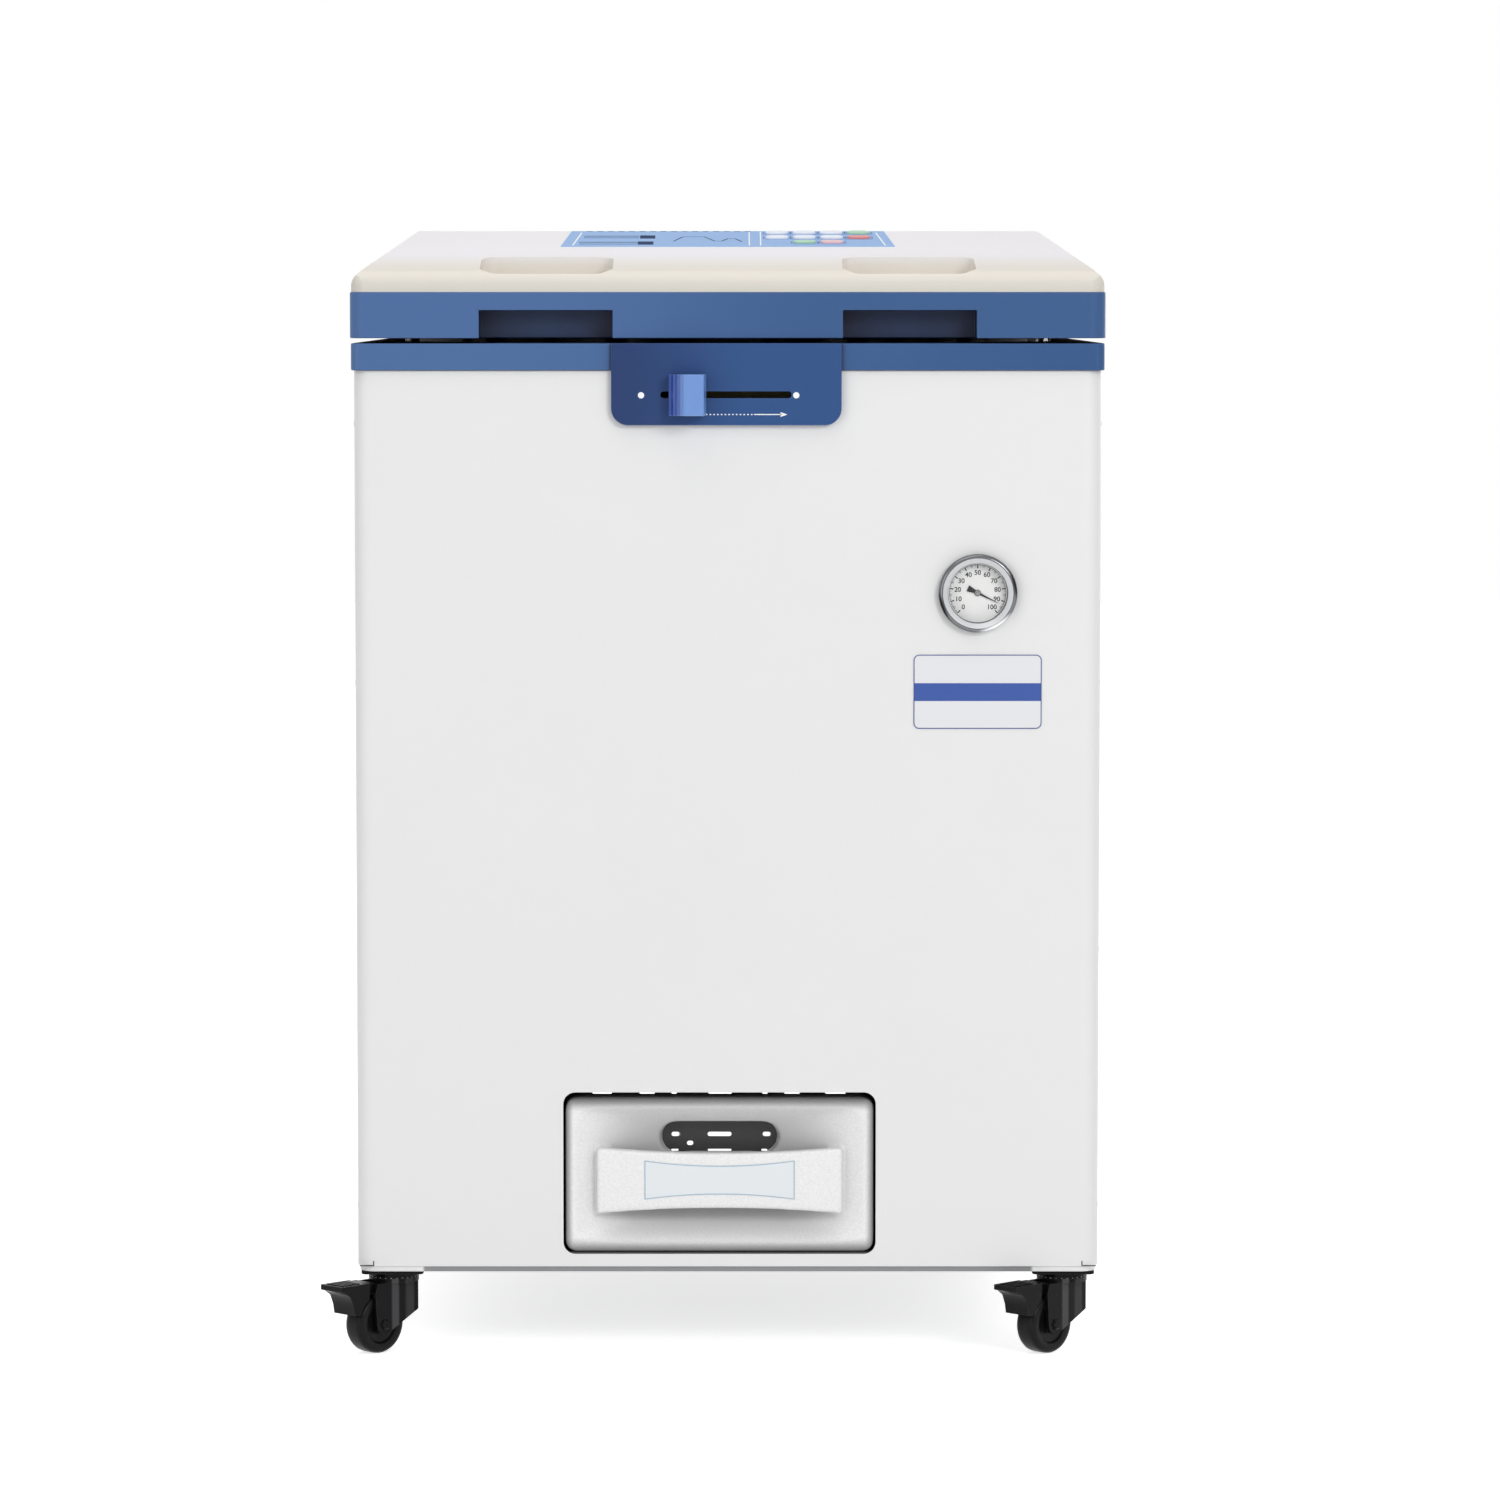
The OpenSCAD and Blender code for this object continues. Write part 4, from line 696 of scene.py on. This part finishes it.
coneLook = {"tone": "C9CACC", "second": "D2D3D5", "rough": 0.45, "metal": 0.4, "grain": (900.0, 0.3, 0.04)}
coneOutline = [(29.0, 7.95), (28.2, 7.45), (25.0, 5.0), (25.0, 4.9), (27.0, 5.75), (28.2, 7.0), (29.0, 7.5)]
addPiece("gauge_cone", lathe(coneOutline, gauge["steps"], gaugeFace, "gauge_cone"),
         finish("coneSatin", coneLook), "cabinet", smooth=50)

# Scale with its first mark at "start" degrees from the right. Ticks are (count, radius, size)
dialLook = {"tone": "FBFBFA", "second": "FEFEFD", "rough": 0.6, "gloss": 0.2, "grain": (2000.0, 0.2, 0.05)}
dial = {"top": -4.7, "start": 225, "sweep": 270, "numbers": 11, "numberStep": 10, "numberRadius": 16.7,
        "numberSize": 5.5, "numberDepth": 0.14, "numberWeight": 0.1, "arc": (23.5, 23.2), "arcSteps": 60,
        "arcLayer": (-4.72, -4.64), "merge": 0.001}
ticks = {"dial_major": (11, 21.9, (3.0, 0.9, 0.16)), "dial_middle": (21, 22.4, (2.0, 0.45, 0.14)),
         "dial_minor": (51, 22.7, (1.4, 0.25, 0.12))}


# Angles of a number of marks that share the scale's sweep
def scaleAngles(count):
    return [radians(dial["start"] - dial["sweep"] * i / (count - 1)) for i in range(count)]


softened("gauge_dial", finish("dialWhite", dialLook), 0.1, 1)
dialFace = gaugeFace @ Matrix.Translation((0, 0, dial["top"]))
for name, (count, radius, size) in ticks.items():
    marks = {"Count": count, "Start": radians(dial["start"]), "Step": -radians(dial["sweep"] / (count - 1)),
             "Radius": radius, "Size": size, "Balls": False}
    repeated(name, "circle", marks, inkBlack, dialFace, "cabinet")
bm = bmesh.new()
arcAngles = scaleAngles(dial["arcSteps"] + 1)
outer, inner = ([(r * cos(a), r * sin(a)) for a in arcAngles] for r in dial["arc"])
addPrism(bm, outer + inner[::-1], *dial["arcLayer"])
for i, a in enumerate(scaleAngles(dial["numbers"])):
    words = str(dial["numberStep"] * i)
    number = textMesh(words, dial["numberSize"], dial["numberDepth"], dial["numberWeight"])
    place = (dial["numberRadius"] * cos(a), dial["numberRadius"] * sin(a), dial["top"])
    number.transform(Matrix.Translation(place))
    bm.from_mesh(number)
bmesh.ops.remove_doubles(bm, verts=bm.verts, dist=dial["merge"])
addPiece("dial_figures", meshFrom(bm, "dial_figures", gaugeFace), inkBlack, "cabinet")

softened("gauge_needle", inkBlack, 0.12, 1)
hubOutline = [(0, -4.4), (2.5, -4.4), (2.5, -3.5), (2.1, -3.1), (1.3, -3.1), (0.9, -3.4), (0, -3.4)]
addPiece("needle_hub", lathe(hubOutline, gauge["hubSteps"], gaugeFace, "needle_hub"), chrome, "needle")
glassLook = {"tone": "1C2024", "rough": 0.04, "alpha": 0.015, "gloss": 0.5}
dress(finish("gaugeGlass", glassLook), "gauge_glass")
print("gauge dressed")

# Information plate, bare but for its outline and band

plateLook = {"tone": "E6E7EA", "second": "E9EAED", "rough": 0.35, "gloss": 0.35, "grain": (1600.0, 0.3, 0.04)}
edgeLook = {"tone": "44538F", "second": "4A5995", "rough": 0.45, "gloss": 0.25}
stripeLook = {"tone": "3F5AA4", "second": "445FA9", "rough": 0.45, "gloss": 0.25}
plate = {"height": 554.7, "outer": (106, 61.5, 4.8), "inner": (104.4, 59.9, 4.0),
         "stripe": (-0.3, 104.8, 14.8), "edgeLayer": (-0.02, 0.08), "stripeLayer": (-0.02, 0.06)}
softened("label_plate", finish("plateWhite", plateLook), 0.2, 1)
plateFace = onFront(gauge["middle"], faceAt["plate"], plate["height"])
printed("plate_outline", [], plateFace, *plate["edgeLayer"], finish("printEdge", edgeLook), "cabinet",
        "plate_white", [(roundOutline(0, 0, *plate["outer"]), roundOutline(0, 0, *plate["inner"]))])
printed("plate_band", [rectOutline(0, *plate["stripe"])], plateFace, *plate["stripeLayer"],
        finish("printBlue", stripeLook), "cabinet", "plate_white")
print("plate dressed")

# Drain tank: blow-moulded, so every edge is soft

# Painted shade on the tank's front: darker further in from the front face, towards its left, right, bottom
# and top edges, most at the top, and in crevices; the plain body keeps the painted crevice shade
tankLook = {"tone": "E8E8E8", "second": "FDFDFD", "rough": 0.5, "gloss": 0.3, "grain": (1500.0, 1.0, 0.35),
            "mottle": (550.0, 1.5),
            "fades": (("CFCFCF", (0, 1, 0), -0.304, -0.282), ("8C8C8C", (-1, -1, 0), 0.4357, 0.4425),
                      ("8C8C8C", (1, -1, 0), 0.4215, 0.4290), ("7A7A7A", (0, -1, -1), 0.2080, 0.2215),
                      ("606060", (0, -1, 1), 0.5110, 0.5240)),
            "crevice": ("7C7C7C", 0.04, 0.5)}
tankWhite = finish("tankWhite", tankLook)
bodyLook = dict(tankLook, tone="DEDEDE", second="F0F0F0", fades=())
softened("drain_tank", finish("tankPlain", bodyLook), 2.0, 3)
tankMiddle = -6.9
bowl = {"front": -308.0, "middle": (tankMiddle, 151.2), "half": (120.5, 56.4), "depth": 36.0, "blend": 7.0,
        "reach": 1.5, "voxel": 1.5, "relax": (0.5, 16)}


# Depth of the bowl at one place: two arcs that flow into each other, and the sharp form they stand for
def bowlDepth(x, z):
    arcs = []
    for offset, half in zip((x - bowl["middle"][0], z - bowl["middle"][1]), bowl["half"]):
        radius = (half ** 2 + bowl["depth"] ** 2) / (2 * bowl["depth"])
        arcs.append(bowl["depth"] - radius + max(radius ** 2 - offset ** 2, 0) ** 0.5)
    low, high = min(arcs), max(arcs)
    return low, low - bowl["blend"] * log(1 + exp((low - high) / bowl["blend"]))


def moulded(name, material):
    carrier = bpy.data.objects.new("carrier", meshFrom(mergedCopy(name), name + "_shape"))
    scene.collection.objects.link(carrier)
    remesh = carrier.modifiers.new("remesh", "REMESH")
    remesh.mode = "VOXEL"
    remesh.voxel_size = bowl["voxel"] / perMetre
    carrier.data = evaluated(carrier)
    carrier.modifiers.clear()
    for vertex in carrier.data.vertices:
        x, y, z = (c * perMetre for c in vertex.co)
        sharp, flowing = bowlDepth(x, z)
        if sharp > 0 and abs(y - bowl["front"] - sharp) < bowl["reach"]:
            vertex.co.y = (bowl["front"] + max(flowing, 0.0)) / perMetre
    relax = carrier.modifiers.new("relax", "SMOOTH")
    relax.factor, relax.iterations = bowl["relax"]
    mesh = evaluated(carrier)
    bpy.data.objects.remove(carrier)
    return addPiece(name + "_moulded", mesh, material, bodyOf[name], smooth=60, stands=(name,))


moulded("tank_face", tankWhite)

# Film on the grip bar: (half width, half height at the ends, half height in the middle)
bar = {"front": -307.0, "height": 146.5, "outer": (62.5, 16.6, 12.2), "inner": (61.7, 15.8, 11.4),
       "lowerShare": 0.97, "filmLayer": (-0.4, 0.3), "edgeLayer": (0.25, 0.38)}


def waisted(half, end, middle, steps=24):
    side = [-half + 2 * half * i / steps for i in range(steps + 1)]
    top = [(x, middle + (end - middle) * (x / half) ** 2) for x in side]
    return [(x, -y * bar["lowerShare"]) for x, y in top] + top[::-1]


barLook = {"tone": "E6EBEF", "second": "EBEFF2", "rough": 0.3, "grain": (1600.0, 0.3, 0.04)}
barEdgeLook = {"tone": "9DB8CC", "second": "A6C0D2", "rough": 0.4}
barFace = onFront(tankMiddle, bar["front"], bar["height"])
printed("bar_film", [waisted(*bar["outer"])], barFace, *bar["filmLayer"], finish("barFilm", barLook),
        "tank", "tank_white")
printed("bar_outline", [], barFace, *bar["edgeLayer"], finish("barEdge", barEdgeLook), "tank", "tank_white",
        [(waisted(*bar["outer"]), waisted(*bar["inner"]))])

# Plate behind the oval hole: its slots and marks as shares of its width and height
bayLook = {"tone": "2B2B2B", "second": "333333", "rough": 0.5, "grain": (1200.0, 0.6, 0.1)}
# Painted light: the insert's slots and marks and the dashes above the tank glow as if light showed through
# them
slotLightLook = {"tone": "F8F8F8", "second": "FFFFFF", "rough": 0.5, "glow": 0.6}
insert = {"front": -270.0, "height": 179.0, "width": 98.7, "tall": 29.0, "slotTall": 3.4, "slotCorner": 1.65,
          "markPlace": -11.9, "markTall": 1.6, "markCorner": 0.7, "cornerSteps": 5,
          "slotLayer": (0.1, 1.4), "markLayer": (1.45, 1.62)}
slotShares = ((-0.375, 0.05, 0.064), (0.0, 0.05, 0.2), (0.4, 0.05, 0.064), (-0.25, -0.21, 0.052))
markShares = ((-0.38, 0.06), (0.0, 0.2), (0.38, 0.05))
bayDark = finish("bayDark", bayLook)
softened("tank_bay", bayDark, 0.3, 1)
softened("tank_insert", bayDark, 0.3, 1)
paintedSlotLight = finish("paintedSlotLight", slotLightLook)
insertFace = onFront(tankMiddle, insert["front"], insert["height"])
wide, tall = insert["width"], insert["tall"]
slotShape = (insert["slotTall"], insert["slotCorner"], insert["cornerSteps"])
markShape = (insert["markTall"], insert["markCorner"], insert["cornerSteps"])
slots = [roundOutline(wide * x, tall * y, wide * w, *slotShape) for x, y, w in slotShares]
marks = [roundOutline(wide * x, insert["markPlace"], wide * w, *markShape) for x, w in markShares]
printed("insert_slots", slots, insertFace, *insert["slotLayer"], paintedSlotLight, "tank", "bay_dark")
printed("insert_marks", marks, insertFace, *insert["markLayer"], paintedSlotLight, "tank", "bay_dark")

# Dashes that glow, painted light, in the gap above the tank, as (left end, right end)
bayLine = {"front": -308.6, "height": 220.0, "thick": 0.9, "layer": (-0.4, 0.4)}
dashEnds = ((-112.4, -96.6), (-73.4, -60.9), (-46.8, -42.6), (-16.0, 3.1), (28.8, 33.0), (47.1, 59.6),
            (81.2, 97.8))
dashes = [rectOutline((a + b) / 2, bayLine["height"], b - a, bayLine["thick"]) for a, b in dashEnds]
printed("bay_dashes", dashes, onFront(0, bayLine["front"], 0), *bayLine["layer"], paintedSlotLight, "cabinet",
        "bay_dark")
print("tank dressed")

# Casters

# Painted highlights on the edges of the casters and tyres
casterLook = {"tone": "0C0C0D", "second": "121213", "rough": 0.25, "gloss": 0.09, "grain": (700.0, 0.5, 0.06),
              "edge": ("58585C", 0.0012, 0.35)}
tyreLook = {"tone": "101011", "second": "161618", "rough": 0.3, "gloss": 0.12, "grain": (700.0, 0.6, 0.1),
            "edge": ("4A4A4E", 0.001, 0.3)}
casterBlack = finish("casterBlack", casterLook)
tyreBlack = finish("tyreBlack", tyreLook)
# Painted sheen: upright highlight stripes on a fork's hood, as (tone, where it starts beside the swivel axis,
# where it ends)
sheen = (("4A4A4C", -0.0015, 0.0005), ("0E0E0F", 0.004, 0.006), ("3A3A3C", 0.009, 0.012),
         ("0C0C0D", 0.016, 0.018))
caster = {"pivot": 280, "trail": 22, "axle": 25, "frontTurn": 225, "rearTurn": 45, "wheelSteps": 96,
          "capSides": 6, "capOffset": 14.0, "treadHeight": 58.6, "ballHeight": 62.85}
ribRow = {"Count": 5, "Begin": (48.0, 0.0, 2.9), "Step": (4.2, 0.0, 0.0), "Size": (1.4, 20.0, 1.0)}
ballRing = {"Count": 26, "Start": 0.0, "Step": 2 * pi / 26, "Radius": 19.6, "Size": (0.9, 0.9, 0.9),
            "Balls": True}
wheelHalf = [(3.05, 6), (7.4, 6), (7.8, 6.4), (8.0, 7.2), (13.5, 7.2), (15.2, 7.4), (16.0, 8.6), (17.0, 9.6),
             (19.5, 10), (21.8, 9.9), (23.6, 9.0), (24.7, 7.0), (25, 4.2)]
wheelOutline = [(r, -z) for r, z in wheelHalf] + wheelHalf[::-1]
capOutline = [(0, 0), (4.6, 0), (4.6, 1.2), (3.6, 2.2), (0, 2.6)]
forkBlack = {}
for label, sx in (("Left", -1), ("Right", 1)):
    axis = sx * caster["pivot"] / perMetre
    paintedSheen = tuple((code, (1, 0, 0), axis + low, axis + high) for code, low, high in sheen)
    forkBlack[label] = finish("forkBlack" + label, dict(casterLook, fades=paintedSheen))
softened("caster_plates", casterBlack, 0.7)
corners = {"front_left": (-1, -1), "front_right": (1, -1), "rear_left": (-1, 1), "rear_right": (1, 1)}
for name, (sx, sy) in corners.items():
    turn = radians(caster["frontTurn"] if sy < 0 else caster["rearTurn"])
    ahead = Vector((cos(turn), sin(turn), 0))
    side = Vector((-sin(turn), cos(turn), 0))
    pivot = Vector((sx * caster["pivot"], sy * caster["pivot"], 0))
    hub = pivot + caster["trail"] * ahead + Vector((0, 0, caster["axle"]))
    fork, brake, wheel = "fork_" + name, "brake_" + name, "wheel_" + name
    softened(fork, forkBlack["Left" if sx < 0 else "Right"], 0.8)
    softened(brake, casterBlack, 0.8)
    wheelFace = frameAt(hub, ahead, Vector((0, 0, 1)))
    addPiece(wheel + "_turned", lathe(wheelOutline, caster["wheelSteps"], wheelFace, wheel), tyreBlack,
             wheel, smooth=35, stands=(wheel,))
    for sign, end in ((1, "a"), (-1, "b")):
        capFace = frameAt(hub + sign * caster["capOffset"] * side, ahead, Vector((0, 0, -sign)))
        addPiece("axle_cap_" + name + "_" + end, lathe(capOutline, caster["capSides"], capFace, "axle_cap"),
                 casterBlack, fork, smooth=20)
    treadFace = frameAt(pivot + Vector((0, 0, caster["treadHeight"])), ahead, side)
    ballFace = frameAt(pivot + Vector((0, 0, caster["ballHeight"])), ahead, side)
    repeated("pedal_ribs_" + name, "row", ribRow, casterBlack, treadFace, brake)
    repeated("swivel_balls_" + name, "circle", ballRing, chrome, ballFace, fork)
print("casters dressed")

# Rear: hinge, services and mains inlet

# A painted highlight on the arms' edges
armLook = {"tone": "55575A", "second": "606265", "rough": 0.4, "metal": 0.6, "grain": (900.0, 0.6, 0.1),
           "edge": ("9A9C9F", 0.001, 0.5)}
armSteel = finish("armSteel", armLook)
softened("hinge_brackets", armSteel, 0.5)
softened("lid_arms", armSteel, 0.6)
brassLook = {"tone": "B08A48", "second": "C29C58", "rough": 0.3, "metal": 1.0, "brush": (30.0, 0.5, 0.15)}
brass = finish("brass", brassLook)
softened("service_valves", brass, 0.4)
plasticLook = {"tone": "1A1A1B", "second": "212122", "rough": 0.45, "grain": (1500.0, 0.8, 0.15)}
blackPlastic = finish("blackPlastic", plasticLook)
softened("mains_inlet", blackPlastic, 0.5)
softened("power_switch", blackPlastic, 0.5, angle=12)
glandFace = frameAt((-170, 326, 160), (-1, 0, 0), (0, 0, 1))
glandRing = {"Count": 24, "Start": 0.0, "Step": 2 * pi / 24, "Radius": 13.1, "Size": (0.9, 1.4, 5.0),
             "Balls": False}
repeated("gland_ribs", "circle", glandRing, blackPlastic, glandFace, "cabinet")

# Panel screws: domed heads with a cross recess, in columns on the rear and the sides
screws = {"foot": 74.5, "rise": 745.5, "shares": (0.06, 0.35, 0.65, 0.94), "rearX": 279, "sideY": 260,
          "steps": 24, "turn": 0.5, "slot": (4.2, 0.8), "slotLayer": (1.4, 2.24)}
screwLook = {"tone": "A8A9AB", "second": "BCBDBF", "rough": 0.3, "metal": 0.95, "brush": (80.0, 0.5, 0.1)}
screwZinc = finish("screwZinc", screwLook)
# The cross recess is a dark cross laid on each head, painted shade
recessShadeLook = {"tone": "2A2A2C", "second": "333336", "rough": 0.6, "metal": 0.5}
recessShade = finish("recessShade", recessShadeLook)
headOutline = [(0, 0), (4.0, 0), (4.0, 0.7), (3.6, 1.4), (2.6, 1.95), (1.3, 2.15), (0, 2.2)]
screwPlaces = []
for share in screws["shares"]:
    z = screws["foot"] + share * screws["rise"]
    for s in (-1, 1):
        screwPlaces.append(frameAt((s * screws["rearX"], faceAt["rear"], z), (-1, 0, 0), (0, 0, 1)))
        for y in (-screws["sideY"], screws["sideY"]):
            screwPlaces.append(frameAt((s * faceAt["side"], y, z), (0, s, 0), (0, 0, 1)))
heads, crosses = bmesh.new(), bmesh.new()
for place in screwPlaces:
    heads.from_mesh(lathe(headOutline, screws["steps"], place, "screw_head"))
    for angle in (screws["turn"], screws["turn"] + pi / 2):
        part = bmesh.new()
        addPrism(part, rectOutline(0, 0, *screws["slot"]), *screws["slotLayer"])
        crosses.from_mesh(meshFrom(part, "cross", place @ Matrix.Rotation(angle, 4, "Z")))
for label, bm, material, stands in (("screw_heads", heads, screwZinc, ("panel_screws",)),
                                    ("screw_crosses", crosses, recessShade, ())):
    bmesh.ops.transform(bm, matrix=toMetres.inverted(), verts=bm.verts)
    addPiece(label, meshFrom(bm, label), material, "cabinet", stands=stands)
print("rear dressed")

# Chamber, lock ring and lid plate: brushed steel, dark where the lid shades them
vesselLook = {"tone": "B8B8B6", "second": "C8C8C6", "rough": 0.3, "metal": 1.0, "brush": (24.0, 0.8, 0.15)}
lockLook = {"tone": "A8A8A6", "second": "B6B6B4", "rough": 0.34, "metal": 1.0, "brush": (24.0, 0.8, 0.15),
            "crevice": ("0A0C12", 0.06, 2.4)}
steels = {"vessel": finish("vesselSteel", vesselLook), "lock_ring": finish("lockSteel", lockLook)}
steels["lid_plate"] = steels["lock_ring"]
for name, steel in steels.items():
    softened(name, steel, 0.4, segments=1, angle=40, smooth=35)
print("chamber dressed")

# Inner pieces keep their CAD shape

innerNodes = {"stainless": ("chamber_screen", "pipes"), "mineralWool": ("insulation_jacket",),
              "heaterSheath": ("heater_element",), "boxGrey": ("control_box",), "gasketRed": ("lid_gasket",)}
innerLooks = {
    "stainless": {"tone": "B8B8B6", "second": "C8C8C6", "rough": 0.28, "metal": 1.0,
                  "brush": (24.0, 0.8, 0.2)},
    "mineralWool": {"tone": "BFB183", "second": "CDC097", "rough": 0.95, "grain": (260.0, 1.0, 0.8)},
    "heaterSheath": {"tone": "4A4540", "second": "6A5F52", "rough": 0.45, "metal": 0.8,
                     "mottle": (40.0, 1.5), "grain": (500.0, 0.5, 0.15)},
    "boxGrey": {"tone": "A4A6A8", "second": "AEB0B2", "rough": 0.45, "grain": (900.0, 0.5, 0.1)},
    "gasketRed": {"tone": "A94A3A", "second": "B55546", "rough": 0.55, "grain": (800.0, 0.5, 0.15)}}
for name, look in innerLooks.items():
    dress(finish(name, look), *innerNodes[name])
print("inner pieces dressed")

# Camera, floor, light

view = {"sensor": 36, "lens": 145.3, "shift": 0.0148, "place": (0, -5.310, 0.884), "down": 4.32}
studio = {"floorSize": 24000, "floorDepth": 20, "floorTone": "F2F2F2", "floorRough": 0.9, "floorGlow": 0.7,
          "worldGlow": 0.55, "worldBase": 0.45}
# Area lights: place, point they face, size, power in watts
lamps = {"keyRight": ((2.4, -4.4, 2.7), (0, 0, 0.55), (1.6, 1.6), 84),
         "fillLeft": ((-3.4, -4.0, 1.5), (0, 0, 0.5), (2.4, 3.0), 34),
         "topSoft": ((-0.6, -0.6, 3.6), (0, 0, 0.9), (2.4, 2.4), 29),
         "rearSoft": ((2.6, 4.2, 1.5), (0, 0, 0.5), (1.4, 1.4), 45)}

cameraData = bpy.data.cameras.new("view")
cameraData.sensor_width = view["sensor"]
cameraData.lens = view["lens"]
cameraData.shift_x = view["shift"]
camera = bpy.data.objects.new("view", cameraData)
camera.location = view["place"]
camera.rotation_euler = (radians(90 - view["down"]), 0, 0)
scene.collection.objects.link(camera)
scene.camera = camera
scene.view_settings.view_transform = "Standard"

floorPlane = bmesh.new()
addPrism(floorPlane, rectOutline(0, 0, studio["floorSize"], studio["floorSize"]), -studio["floorDepth"], 0)
floorMesh = meshFrom(floorPlane, "floor")
floorMaterial = bpy.data.materials.new("floorWhite")
floorMaterial.use_nodes = True
tree = floorMaterial.node_tree
shader = tree.nodes["Principled BSDF"]
shader.inputs["Base Color"].default_value = srgb(studio["floorTone"])
shader.inputs["Roughness"].default_value = studio["floorRough"]
shader.inputs["Emission Color"].default_value = (1, 1, 1, 1)


# A strength that only the camera and mirrored or refracted rays meet, so it lights nothing
def seenRays(tree, strength):
    rays = tree.nodes.new("ShaderNodeLightPath").outputs
    seen = addMath(tree, "ADD", rays["Is Camera Ray"], rays["Is Glossy Ray"])
    seen = addMath(tree, "MINIMUM", addMath(tree, "ADD", seen, rays["Is Transmission Ray"]), 1.0)
    return addMath(tree, "MULTIPLY", seen, strength)


tree.links.new(seenRays(tree, studio["floorGlow"]), shader.inputs["Emission Strength"])
floorMesh.materials.append(floorMaterial)
floorObject = bpy.data.objects.new("floor", floorMesh)
scene.collection.objects.link(floorObject)

world = bpy.data.worlds.new("studio")
scene.world = world
world.use_nodes = True
tree = world.node_tree
background = tree.nodes["Background"]
background.inputs["Color"].default_value = (1, 1, 1, 1)
strength = addMath(tree, "ADD", seenRays(tree, studio["worldGlow"]), studio["worldBase"])
tree.links.new(strength, background.inputs["Strength"])


def addLight(name, place, target, size, power):
    data = bpy.data.lights.new(name, "AREA")
    data.shape = "RECTANGLE"
    data.size, data.size_y = size
    data.energy = power
    light = bpy.data.objects.new(name, data)
    light.location = place
    light.rotation_euler = (Vector(target) - Vector(place)).to_track_quat("-Z", "Y").to_euler()
    scene.collection.objects.link(light)


for name, values in lamps.items():
    addLight(name, *values)
print("camera, floor and light set")
